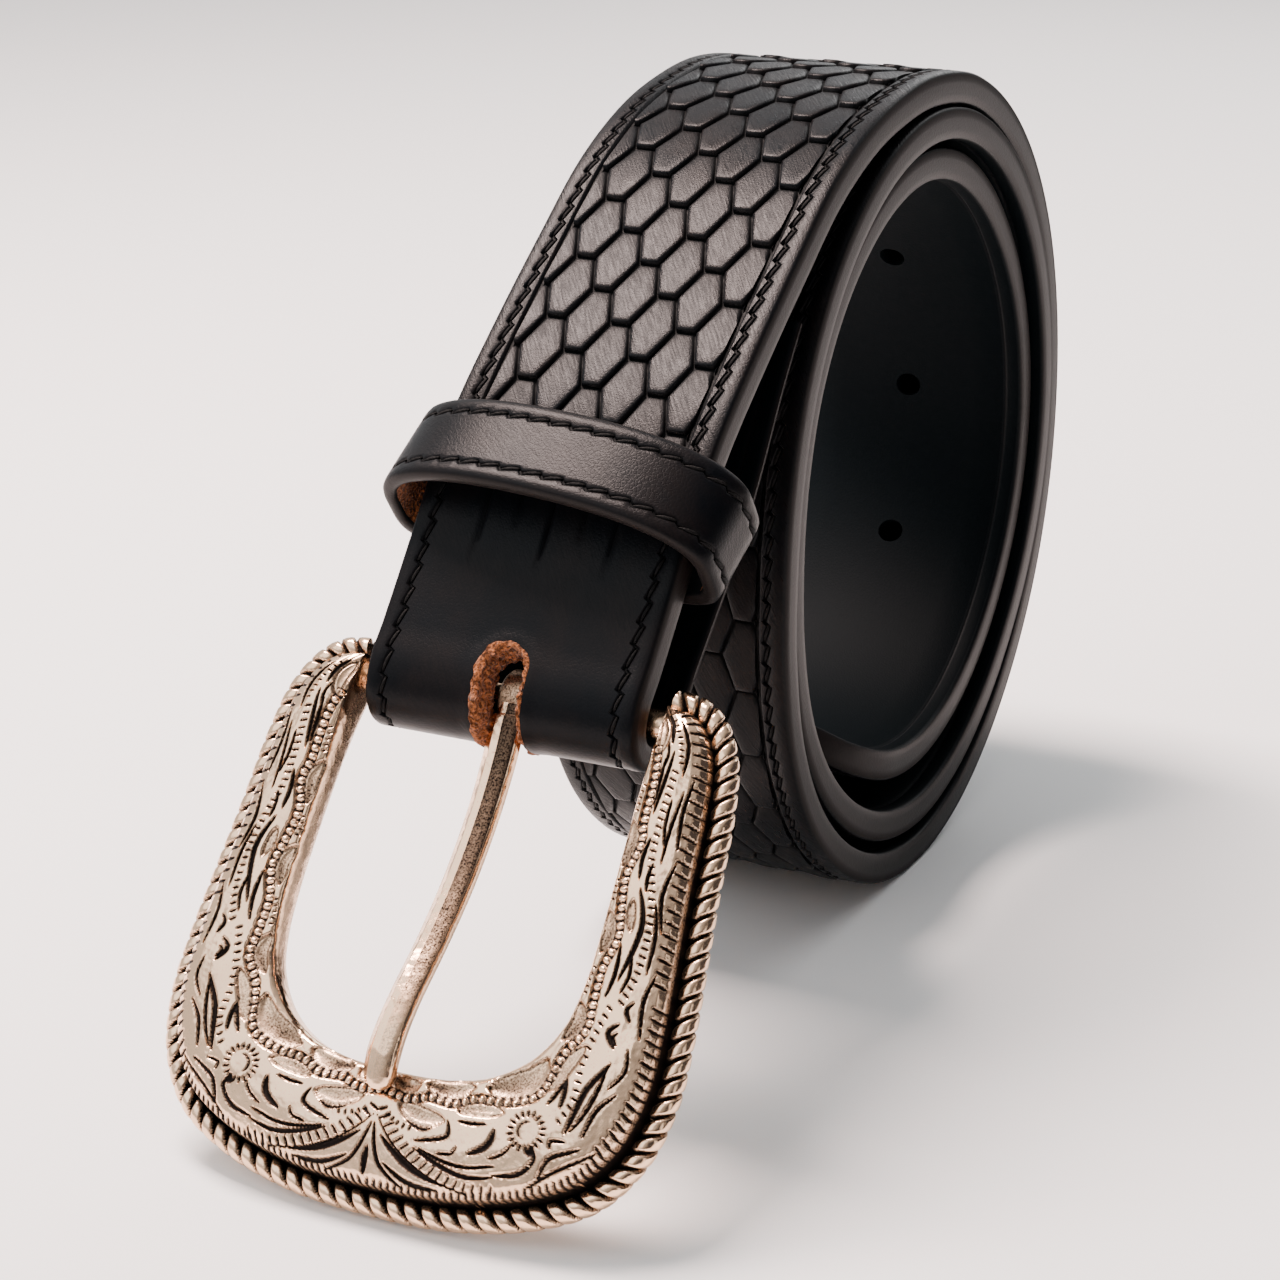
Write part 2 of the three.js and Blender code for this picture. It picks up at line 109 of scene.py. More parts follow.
def catmull(points, centripetal, samples):
    """Points along a Catmull-Rom curve through the given ones, as three.js draws it."""
    pts = np.asarray(points, float)
    first, last = 2 * pts[0] - pts[1], 2 * pts[-1] - pts[-2]
    ext = np.vstack([first, pts, last])
    place = np.clip(np.asarray(samples, float), 0, 1) * (len(pts) - 1)
    i = np.minimum(place.astype(int), len(pts) - 2)
    t = (place - i)[:, None]
    p0, p1, p2, p3 = ext[i], ext[i + 1], ext[i + 2], ext[i + 3]
    if not centripetal:
        p0 = pts[np.maximum(i - 1, 0)]
        p3 = pts[np.minimum(i + 2, len(pts) - 1)]
        v0, v1 = (p2 - p0) / 2, (p3 - p1) / 2
    else:
        d0, d1, d2 = (np.maximum(np.linalg.norm(b - a, axis=1) ** 0.5, 1e-4)[:, None]
                      for a, b in ((p0, p1), (p1, p2), (p2, p3)))
        v0 = ((p1 - p0) / d0 - (p2 - p0) / (d0 + d1) + (p2 - p1) / d1) * d1
        v1 = ((p2 - p1) / d1 - (p3 - p1) / (d1 + d2) + (p3 - p2) / d2) * d1
    a = 2 * (p1 - p2) + v0 + v1
    b = 3 * (p2 - p1) - 2 * v0 - v1
    return a * t ** 3 + b * t ** 2 + v0 * t + p1


def bearings(count):
    """Evenly spaced angles round a full turn."""
    return np.linspace(0, math.tau, count, endpoint=False)


def lengths_along(path):
    """How far along a path each of its points lies."""
    return np.concatenate([[0], np.cumsum(np.linalg.norm(np.diff(path, axis=0), axis=1))])


def strap_route():
    """The strap's grain face in the side view: rows of (y, z, x), distances along it and thicknesses."""
    last = len(RADII) - 1
    steps = np.arange(last * BEARING_STEPS + 1) / BEARING_STEPS
    radius = catmull([[r] for r in RADII], False, steps / last)[:, 0]
    slip = catmull([[x] for x in SLIPS], False, steps / 2 / (len(SLIPS) - 1))[:, 0]
    angle = math.pi / 2 - steps * math.pi / 4
    coil = np.stack([slip, radius * np.cos(angle), radius * np.sin(angle), np.full_like(slip, THICK)], 1)
    rows = np.vstack([RUN, coil])
    dense = catmull(rows[:, :3], True, np.linspace(0, 1, ROUTE_SAMPLES))
    place = np.linspace(0, len(rows) - 1, ROUTE_SAMPLES)
    thick = np.interp(place, np.arange(len(rows)), rows[:, 3])
    run = lengths_along(dense)
    even = np.arange(0, run[-1], ROUTE_STEP)
    path = np.stack([np.interp(even, run, dense[:, k]) for k in (1, 2, 0)], 1)
    return path, even, np.interp(even, run, thick)


ROUTE, ROUTE_AT, ROUTE_THICK = strap_route()
STRAP_LENGTH = ROUTE_AT[-1]


def strap_near(y, z, low, high):
    """The distance along the strap, between two others, that passes closest to a point of the side view."""
    gap = np.hypot(ROUTE[:, 0] - y, ROUTE[:, 1] - z)
    gap[(ROUTE_AT < low) | (ROUTE_AT > high)] = math.inf
    return float(ROUTE_AT[gap.argmin()])


def half_width(at):
    """Half of the strap's width, which narrows to a blunt rounded point at its tip."""
    left = np.clip((STRAP_LENGTH - np.asarray(at, float)) / POINT_LENGTH, 0, 1)
    return HALF * (POINT_BLUNT + (1 - POINT_BLUNT) * np.sqrt(1 - (1 - left) ** 2))


def thickness(at):
    return np.interp(at, ROUTE_AT, ROUTE_THICK)


# Working with Blender's own tools

def only(obj):
    """Deselect everything else, so that an operator acts on this object alone."""
    bpy.ops.object.select_all(action="DESELECT")
    obj.select_set(True)
    bpy.context.view_layer.objects.active = obj


def put(name, data):
    obj = bpy.data.objects.new(name, data)
    bpy.context.scene.collection.objects.link(obj)
    return obj


def fresh(name, add, **settings):
    """A new object from one of Blender's own primitives."""
    bpy.ops.object.select_all(action="DESELECT")
    add(**settings)
    obj = bpy.context.object
    obj.name = name
    return obj


def pick(obj, mask):
    """Select vertices by a mask and nothing else, for the next step of edit mode."""
    mask = np.asarray(mask, bool)
    obj.data.polygons.foreach_set("select", np.zeros(len(obj.data.polygons), bool))
    obj.data.edges.foreach_set("select", np.zeros(len(obj.data.edges), bool))
    obj.data.vertices.foreach_set("select", mask)


def points_of(obj):
    co = np.empty(len(obj.data.vertices) * 3, np.float32)
    obj.data.vertices.foreach_get("co", co)
    return co.reshape(-1, 3).astype(float)


def set_points(obj, co):
    obj.data.vertices.foreach_set("co", np.asarray(co, np.float32).ravel())
    obj.data.update()


def edit(obj, *steps):
    """Run steps of edit mode on the whole of an object."""
    only(obj)
    bpy.ops.object.mode_set(mode="EDIT")
    bpy.ops.mesh.select_all(action="SELECT")
    for step in steps:
        step()
    bpy.ops.object.mode_set(mode="OBJECT")
    return obj


def merge():
    bpy.ops.mesh.remove_doubles(threshold=0.004)


def close_ends():
    bpy.ops.mesh.fill_holes(sides=0)


def outward():
    bpy.ops.mesh.select_all(action="SELECT")
    bpy.ops.mesh.normals_make_consistent(inside=False)


def apply(obj, kind, **settings):
    """Give an object a modifier with these settings, and apply it."""
    modifier = obj.modifiers.new(kind.lower(), kind)
    for name, value in settings.items():
        setattr(modifier, name, value)
    only(obj)
    bpy.ops.object.modifier_apply(modifier=modifier.name)
    return obj


def repeat(obj, count, step, merged=False):
    return apply(obj, "ARRAY", count=count, use_relative_offset=False, use_constant_offset=True,
                 constant_offset_displace=step, use_merge_vertices=merged, merge_threshold=0.01)


def grid(name, rows, columns):
    """A flat grid, with the row and column that each of its vertices is in."""
    obj = fresh(name, bpy.ops.mesh.primitive_grid_add, x_subdivisions=rows - 1, y_subdivisions=columns - 1,
                size=2)
    co = points_of(obj)
    i = np.rint((co[:, 0] + 1) / 2 * (rows - 1)).astype(int)
    j = np.rint((co[:, 1] + 1) / 2 * (columns - 1)).astype(int)
    return obj, i, j


def swept(name, sections, looped=False):
    """A solid bar through rows of points: its two ends are closed, or looped joins them."""
    sections = np.asarray(sections, float)
    rows, count = sections.shape[:2]
    obj, i, j = grid(name, rows + looped, count + 1)
    set_points(obj, sections[i % rows, j % count])
    steps = [merge] if looped else [merge, close_ends]
    return edit(obj, *steps, outward)


def attribute(obj, name, values):
    made = obj.data.attributes.get(name) or obj.data.attributes.new(name, "FLOAT", "POINT")
    made.data.foreach_set("value", np.asarray(values, np.float32))


def flat_uv(obj):
    """A UV map from the flat strip: one unit is the strap's width."""
    layer = obj.data.uv_layers.active or obj.data.uv_layers.new()
    index = np.empty(len(obj.data.loops), np.int32)
    obj.data.loops.foreach_get("vertex_index", index)
    co = points_of(obj)[index]
    layer.data.foreach_set("uv", (co[:, [0, 2]] / STRAP_WIDTH).astype(np.float32).ravel())


def smooth(obj, degrees):
    only(obj)
    bpy.ops.object.shade_smooth_by_angle(angle=math.radians(degrees))


def ready(obj, body, materials, nodes=()):
    """Name what a piece rides on, its materials and the nodes that it stands for."""
    obj.data.materials.clear()
    for one in materials:
        obj.data.materials.append(one)
    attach(obj, body)
    if nodes:
        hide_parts(*nodes)


def to_part(obj, turn=Matrix()):
    """From a piece's own place to the drawing, both in millimetres, and on to the part's frame in metres."""
    obj.data.transform(turn)
    obj.data.transform(Matrix.Scale(MM, 4) @ Matrix.Translation(DRAWING_AT))
    obj.data.update()
    return obj


# Bending a flat strip along the strap's route

def guide(name, points):
    data = bpy.data.curves.new(name, "CURVE")
    data.dimensions = "3D"
    data.twist_mode = "Z_UP"
    data.use_deform_bounds = False
    data.use_radius = False
    spline = data.splines.new("POLY")
    spline.points.add(len(points) - 1)
    places = np.column_stack([points, np.ones(len(points))])
    spline.points.foreach_set("co", places.astype(np.float32).ravel())
    return put(name, data)


STRAP_GUIDE = guide("strap_guide", ROUTE)
SIDE_VIEW = Matrix(((0, 0, 1, 0), (1, 0, 0, 0), (0, 1, 0, 0), (0, 0, 0, 1)))


def bend_strap(obj):
    """Bend a flat strip along the route, press it flat on the floor and bring it to the part's frame."""
    flat_uv(obj)
    apply(obj, "CURVE", object=STRAP_GUIDE, deform_axis="POS_X")
    obj.data.transform(SIDE_VIEW)
    co = points_of(obj)
    co[:, 2] = np.maximum(co[:, 2], FLOOR)
    set_points(obj, co)
    return to_part(obj)


# The strap's section: how far across, how far below the grain face, the share of the thickness added to that,
# and how much the point follows the slant of the stitches
EDGE = [
    (15.42, 0.0, 0, 0),
    (15.8, 0.0, 0, 1),
    (15.98, 0.16, 0, 1),
    (16.12, 0.46, 0, 1),
    (16.48, 0.46, 0, 1),
    (16.62, 0.14, 0, 1),
    (16.84, 0.0, 0, 1),
    (17.6, 0.0, 0, 0),
    (18.42, 0.03, 0, 0),
    (18.74, 0.2, 0, 0),
    (18.93, 0.55, 0, 0),
    (19.0, 0.0, 0.35, 0),
    (19.0, 0.0, 0.68, 0),
    (18.93, -0.5, 1, 0),
    (18.72, -0.16, 1, 0),
    (18.35, 0.0, 1, 0),
    (16.7, 0.0, 1, 0),
    (16.3, -0.2, 1, 0),
    (15.9, 0.0, 1, 0),
]
GROOVE = [
    (14.35, 0.8, 0, 0),
    (14.66, 0.46, 0, 0),
    (14.98, 0.44, 0, 0),
    (15.22, 0.08, 0, 0),
]
ZIGZAG = 0.4
# One scale, from its outline in: how far each step goes inward and how far up
SCALE_STEPS = [(0.07, 0), (0.09, 0.28), (0.1, 0.16), (0.15, 0.09), (0.32, 0.06), (0.55, 0.025), (0.5, 0.01)]
SCALE_STEPS_COARSE = [(0.07, 0), (0.09, 0.3), (0.22, 0.24), (0.9, 0.06)]
SCALE_TILT_AFTER = 0.09
SCALE_BED = 1.0
SCALE_FLOOR = -0.62
SCALE_CORNERS = (0.35, 0.15)
SCALE_TILT = math.radians(-3.2)
PATTERN_START = 110.0
OUTER_END = 574.0
OUTER_STEP = 0.5
INNER_STEP = 1.5
PATTERN_END = STRAP_LENGTH - 26
SCALE_ROW_AT = 120.5


def zigzag(at):
    """How far the stitch channel is pushed sideways: it slants one way and steps back, once a stitch."""
    return ZIGZAG * (2 * ((at / STITCH_PITCH) % 1) - 1)


def sections(at, half):
    """Sections of a strip at distances, from half of a section that is mirrored."""
    half = np.asarray(half, float)
    whole = np.vstack([half, half[::-1] * (-1, 1, 1, 1)])
    across = whole[None, :, 0] * (half_width(at) / HALF)[:, None] + whole[None, :, 3] * zigzag(at)[:, None]
    deep = whole[None, :, 1] + whole[None, :, 2] * thickness(at)[:, None]
    return np.stack([np.broadcast_to(at[:, None], across.shape), -deep, across], 2)


# The masks on the strap: a share of half its width, and depths below the grain face
CUT_EDGE_FROM = 0.988
INSIDE_WITHIN = 0.1
GROOVE_FROM = 0.12
GROOVE_FADE = 0.4
GROOVE_TO = 0.9


def strap_marks(obj):
    """Masks for the leather, made while it is flat: its cut edge, its inside and how deep its grooves are."""
    co = points_of(obj)
    width = half_width(co[:, 0])
    thick = thickness(co[:, 0])
    depth = -co[:, 1]
    attribute(obj, "edge", (np.abs(co[:, 2]) > width * CUT_EDGE_FROM).astype(float))
    attribute(obj, "inside", (depth > thick - INSIDE_WITHIN).astype(float))
    # The groove mask darkens the leather's grooves as painted shade, and roughens them.
    attribute(obj, "groove", np.clip((depth - GROOVE_FROM) / GROOVE_FADE, 0, 1) * (depth < GROOVE_TO))


def strap_bar(name, start, end, step):
    """The strap's band, edges and inside, with a shallow tray for the scales."""
    at = np.arange(start, end + step / 2, step)
    at[-1] = end
    inside = [(x, 0.0, 1, 0) for x in (11.0, 5.5, 0.0001)]
    return swept(name, sections(at, GROOVE + EDGE + inside))


def scale_field(name, start, end, fine):
    """Pressed scales from start to end: one scale, repeated along and across, and cut off at the border."""
    obj = fresh(name, bpy.ops.mesh.primitive_circle_add, vertices=6, radius=1, fill_type="NGON")
    co = points_of(obj)
    wide = np.abs(co[:, 1]) > 0.9
    co[:, 0] = np.sign(co[:, 0]) * np.where(wide, 0, SCALE_ALONG / 2)
    co[:, 1] = np.sign(co[:, 1]) * np.where(wide, *SCALE_CORNERS) * SCALE_ACROSS
    set_points(obj, co)

    def press():
        for inward, rise in SCALE_STEPS if fine else SCALE_STEPS_COARSE:
            bpy.ops.mesh.inset(thickness=inward, depth=rise)
            if inward == SCALE_TILT_AFTER:
                bpy.ops.transform.rotate(value=SCALE_TILT, orient_axis="Y", center_override=(0, 0, 0.3))

    edit(obj, press)
    rows = int((end - start) / SCALE_ALONG) + 3
    first = SCALE_ROW_AT + SCALE_ALONG * (math.floor((start - SCALE_ROW_AT) / SCALE_ALONG) - 0.5)
    set_points(obj, points_of(obj) + (first, -1.75 * SCALE_ACROSS - FIELD_SHIFT, SCALE_FLOOR))
    repeat(obj, 2, (SCALE_ALONG / 2, SCALE_ACROSS / 2, 0), True)
    repeat(obj, 5, (0, SCALE_ACROSS, 0), True)
    repeat(obj, rows, (SCALE_ALONG, 0, 0), True)

    def trim():
        for place, normal in (((start, 0, 0), (-1, 0, 0)), ((end, 0, 0), (1, 0, 0)),
                              ((0, FIELD_HALF, 0), (0, 1, 0)), ((0, -FIELD_HALF, 0), (0, -1, 0))):
            bpy.ops.mesh.select_all(action="SELECT")
            bpy.ops.mesh.bisect(plane_co=place, plane_no=normal, clear_outer=True, use_fill=False)

    edit(obj, trim)
    count = len(obj.data.vertices)
    apply(obj, "SOLIDIFY", thickness=1.0, offset=-1.0)
    co = points_of(obj)
    co[count:] = co[:count]
    co[count:, 2] = -SCALE_BED
    set_points(obj, co)
    edit(obj, outward)
    obj.data.transform(Matrix.Rotation(math.radians(-90), 4, "X"))
    return obj


# The plain run: the turned-back end, the fold with its slot, and the front up to the keeper
SLOT_HALF = 3.3
SLOT_TOP = strap_near(-90.1, 0.6, 60, 110) + 0.5
SLOT_LOW = strap_near(-86.8, -45.6, 0, 110) - 12.5
RUN_STEP = 0.4
# Grooves that run out under the keeper: how far across, and where each ends
END_GROOVES = [(-9.35, 94.0), (-4.67, 99.5), (0.0, 94.5), (4.67, 99.0), (9.35, 94.5)]
END_GROOVE_FADE = 5
END_GROOVE_DEPTH = 0.4
END_GROOVE_HALF = 0.3
SLOT_PUFF = 0.16


def slot_gap(at, across):
    """Signed distance from the slot's outline, below zero inside."""
    middle = np.clip(at, SLOT_LOW + SLOT_HALF, SLOT_TOP - SLOT_HALF)
    return np.hypot(at - middle, across) - SLOT_HALF


def open_rims():
    bpy.ops.mesh.select_all(action="DESELECT")
    bpy.ops.mesh.select_non_manifold()


def on_rims(obj):
    """A mask of the vertices on the open rims of the slot."""
    edit(obj, open_rims)
    mask = np.zeros(len(obj.data.vertices), bool)
    obj.data.vertices.foreach_get("select", mask)
    return mask


def plain_run():
    at = np.append(np.arange(0, PATTERN_START - RUN_STEP / 2, RUN_STEP), PATTERN_START)
    flat = np.arange(1, 38) * RUN_STEP
    top = [(0.0001, 0, 0, 0)] + [(x, 0, 0, 0) for x in flat]
    under = [(x, 0, 1, 0) for x in flat[::-1]] + [(0.0001, 0, 1, 0)]
    obj = swept("strap_run", sections(at, top + EDGE + under))
    co = points_of(obj)
    only(obj)
    pick(obj, slot_gap(co[:, 0], co[:, 2]) < 0.12)
    bpy.ops.object.mode_set(mode="EDIT")
    bpy.ops.mesh.select_mode(type="VERT")
    bpy.ops.mesh.delete(type="VERT")
    bpy.ops.object.mode_set(mode="OBJECT")
    co = points_of(obj)
    gap = slot_gap(co[:, 0], co[:, 2])
    middle = np.clip(co[:, 0], SLOT_LOW + SLOT_HALF, SLOT_TOP - SLOT_HALF)
    near = on_rims(obj)
    pull = (gap / (gap + SLOT_HALF))[near]
    co[near, 0] -= (co[near, 0] - middle[near]) * pull
    co[near, 2] -= co[near, 2] * pull
    set_points(obj, co)
    edit(obj, open_rims, bpy.ops.mesh.bridge_edge_loops, outward)
    co = points_of(obj)
    dent = np.zeros(len(co))
    for across, end in END_GROOVES:
        deep = np.clip((co[:, 0] - end) / END_GROOVE_FADE, 0, 1) ** 0.6 * END_GROOVE_DEPTH
        dent = np.maximum(dent, deep * np.exp(-((co[:, 2] - across) / END_GROOVE_HALF) ** 2))
    puff = SLOT_PUFF * np.exp(-((slot_gap(co[:, 0], co[:, 2]) - 0.4) / 1.1) ** 2)
    on_top = co[:, 1] > -0.3
    co[:, 1] += np.where(on_top, puff - dent, 0)
    set_points(obj, co)
    return obj


# The slot's raw wall: how far into the slot, and the share of the thickness below the grain face
SUEDE_SECTION = [
    (-0.4, 0), (-0.1, 0), (0.15, 0.01), (0.32, 0.05), (0.45, 0.12), (0.54, 0.2), (0.58, 0.3), (0.56, 0.4),
    (0.53, 0.5), (0.55, 0.6), (0.55, 0.7), (0.5, 0.8), (0.4, 0.9), (0.25, 0.96), (0.0, 1), (-0.35, 1),
]
SUEDE_PLACES = 260


def slot_suede():
    """The raw wall of the slot: a rough lining that follows its outline from the grain face to the inside."""
    count = SUEDE_PLACES
    straight = SLOT_TOP - SLOT_LOW - 2 * SLOT_HALF
    arc = math.pi * SLOT_HALF
    walk = np.linspace(0, 2 * straight + math.tau * SLOT_HALF, count, endpoint=False)
    legs = [(walk < straight), (walk < straight + arc), (walk < 2 * straight + arc)]
    a1 = (walk - straight) / SLOT_HALF
    a3 = (walk - 2 * straight - arc) / SLOT_HALF
    low, top = SLOT_LOW + SLOT_HALF, SLOT_TOP - SLOT_HALF
    along = np.select(legs, [low + walk, top + SLOT_HALF * np.sin(a1), top - (walk - straight - arc)],
                      low - SLOT_HALF * np.sin(a3))
    across = np.select(legs, [np.full(count, SLOT_HALF), SLOT_HALF * np.cos(a1), np.full(count, -SLOT_HALF)],
                       -SLOT_HALF * np.cos(a3))
    middle = np.clip(along, low, top)
    out = np.stack([(along - middle) / SLOT_HALF, across / SLOT_HALF], 1)
    rough = np.random.default_rng(7)
    thick = thickness(along)
    left = np.clip(0.35 - across / SLOT_HALF, 0, 1)
    turns = []
    for inward, share in SUEDE_SECTION:
        noisy = np.tile(rough.normal(0, 1, count), 3)
        soft = np.convolve(noisy, np.hanning(7) / 2, "same")[count:2 * count]
        free = inward > -0.3
        r = inward * (1 + 1.1 * left * free) + (0.16 + 0.14 * left) * soft * free
        y = (0.16 * soft + (0.25 + 0.3 * left) * (share < 0.1)) * free - thick * share
        turns.append(np.stack([along - out[:, 0] * r, y, across - out[:, 1] * r], 1))
    return swept("slot_suede", np.stack(turns, 1), looped=True)


STITCH_HALF = (1.3, 0.24, 0.27)
STITCH_SAG = 0.12
STITCH_SUNK = -0.18


def stitch(name):
    """One visible stitch: a short slanted length of twisted thread."""
    obj = fresh(name, bpy.ops.mesh.primitive_uv_sphere_add, segments=6, ring_count=5, radius=1)
    co = points_of(obj)[:, ::-1] * STITCH_HALF
    co[:, 1] -= STITCH_SAG * (co[:, 0] / STITCH_HALF[0]) ** 2
    co[:, 2] += co[:, 0] * 2 * ZIGZAG / STITCH_PITCH
    set_points(obj, co)
    return obj


def thread_row(name, start, end, across, deep):
    obj = stitch(name)
    first = math.ceil(start / STITCH_PITCH) * STITCH_PITCH + STITCH_PITCH / 2
    count = int((end - first) / STITCH_PITCH)
    set_points(obj, points_of(obj) + (first, deep, across))
    return repeat(obj, count, (STITCH_PITCH, 0, 0))


def join(objects, name):
    bpy.ops.object.select_all(action="DESELECT")
    for obj in objects:
        obj.select_set(True)
    bpy.context.view_layer.objects.active = objects[0]
    bpy.ops.object.join()
    objects[0].name = name
    return objects[0]


# Keeper
KEEPER_HALF = 6.5
KEEPER_WALL = 2.1
KEEPER_HALF_SPAN = 24.1
KEEPER_RISE = 10.1
KEEPER_DROP = 8.4
KEEPER_ARCH = 0.87
KEEPER_STITCH_LINE = 4.04
KEEPER_BELLY = 0.4
KEEPER_TURN = Matrix.Translation((-0.6, -75.4, 15.8)) @ Matrix.Rotation(math.radians(124.7), 4, "X") @ \
    Matrix.Rotation(math.radians(-4.8), 4, "Y")


def keeper_oval(angle, inward):
    c, s = np.cos(angle), np.sin(angle)
    power = np.where(s > 0, KEEPER_ARCH, KEEPER_BELLY)
    x = (KEEPER_HALF_SPAN - inward) * np.sign(c) * np.abs(c) ** power
    y = (np.where(s > 0, KEEPER_RISE, KEEPER_DROP) - inward) * np.sign(s) * np.abs(s) ** power
    return x, y


def keeper_walk():
    angle = np.linspace(-math.pi, math.pi, 20001)
    x, y = keeper_oval(angle, KEEPER_WALL / 2)
    return angle, lengths_along(np.stack([x, y], 1))


KEEPER_ANGLE, KEEPER_RUN = keeper_walk()


def wrap_keeper(co):
    """From a flat strip, +X round the loop, +Y out of it and +Z across it, to the keeper."""
    angle = np.interp(co[:, 0] % KEEPER_RUN[-1], KEEPER_RUN, KEEPER_ANGLE)
    x, y = keeper_oval(angle, -co[:, 1])
    return np.stack([x, y, co[:, 2]], 1)


# Half of the keeper's section: how far across, and how far out of the grain face
KEEPER_SECTION = [
    (0.0001, 0), (2.0, 0), (3.2, 0), (3.55, 0), (3.75, -0.1), (3.88, -0.34), (4.2, -0.34), (4.34, -0.1),
    (4.55, 0), (5.4, -0.02), (6.0, -0.12), (6.36, -0.4), (KEEPER_HALF, -0.85), (KEEPER_HALF, -1.4),
    (6.32, -1.85), (5.9, -KEEPER_WALL), (3, -KEEPER_WALL), (0.0001, -KEEPER_WALL),
]
KEEPER_PLACES = 220
KEEPER_CHANNEL = (3.5, 4.6)


def keeper_strip():
    """The keeper laid out flat, with its two stitch channels."""
    at = np.linspace(0, KEEPER_RUN[-1], KEEPER_PLACES, endpoint=False)
    half = np.array(KEEPER_SECTION)
    whole = np.vstack([half, half[::-1] * (-1, 1)])
    side = np.abs(whole[:, 0])
    in_channel = (side > KEEPER_CHANNEL[0]) & (side < KEEPER_CHANNEL[1]) & (whole[:, 1] > -1)
    across = whole[None, :, 0] + in_channel[None] * 0.8 * zigzag(at)[:, None]
    table = np.stack([*np.broadcast_arrays(at[:, None], whole[None, :, 1]), across], 2)
    return swept("keeper_loop", table, looped=True)


# Buckle
ROPE_RADIUS = 1.55
ROPE_HEIGHT = 2.5
ROPE_LAY = 2.45
ROPE_BITE = 0.7
ROPE_SIDES = 28
ROPE_ROWS_PER_LAY = 18
# From the end of a post down to the middle of the foot: the rope's outside (x, v), the window's edge (x, v),
# and the heights of the back, the crown and the window's edge
FRAME = [
    (22.0, -4.2, 21.4, -1.2, -1.2, 4.6, 4.4),
    (25.6, -3.6, 21.4, 0.8, -1.2, 5.6, 5.2),
    (28.8, -1.4, 21.4, 3.4, -0.8, 6.4, 5.8),
    (31.6, 3.4, 21.4, 6.6, 0, 6.9, 6.2),
    (32.9, 10.0, 21.4, 12.0, 1, 7.1, 6.4),
    (33.7, 20.0, 21.5, 20.0, 1.6, 7.3, 6.6),
    (34.6, 29.0, 21.6, 27.6, 1.8, 7.4, 6.8),
    (35.4, 38.0, 21.3, 34.6, 1.8, 7.6, 6.9),
    (35.5, 45.5, 20.2, 39.6, 1.6, 7.8, 7.0),
    (33.7, 53.0, 17.4, 44.0, 1.2, 7.9, 7.0),
    (29.3, 59.2, 12.8, 47.2, 1, 8.0, 7.0),
    (22.0, 63.2, 8.0, 48.6, 1, 8.0, 7.0),
    (11.5, 65.8, 4.0, 49.0, 1, 8.0, 7.0),
    (0, 66.4, 0, 49.1, 1, 8.0, 7.0),
]
BUCKLE_TURN = Matrix.Translation(BAR) @ Matrix.Rotation(BUCKLE_PITCH, 4, "X")


def whole_u(x, v, t):
    half = np.array([(row[x], -row[v], 0) for row in FRAME], float)
    points = np.vstack([half, half[-2::-1] * (-1, 1, 1)])
    return catmull(points, True, t)


def u_height(column, t):
    place = np.asarray(t) * (2 * len(FRAME) - 2)
    last = len(FRAME) - 1
    place = np.where(place > last, 2 * last - place, place)
    return np.interp(place, np.arange(len(FRAME)), [row[column] for row in FRAME])


def rope_line(t):
    """The rope's middle line and the way in towards the window."""
    step = 1e-4
    along = whole_u(0, 1, np.clip(t + step, 0, 1)) - whole_u(0, 1, np.clip(t - step, 0, 1))
    along /= np.linalg.norm(along, axis=1)[:, None]
    inward = np.stack([along[:, 1], -along[:, 0], np.zeros(len(t))], 1)
    return whole_u(0, 1, t) + inward * ROPE_RADIUS, inward


def even_t(count):
    """Places that are evenly spaced along the U, and its length."""
    t = np.linspace(0, 1, 4001)
    run = lengths_along(whole_u(0, 1, t))
    return np.interp(np.linspace(0, run[-1], count), run, t), run[-1]


FACE_ROWS = 1050
FACE_COLUMNS = 82
LEAF_LINE = 0.34


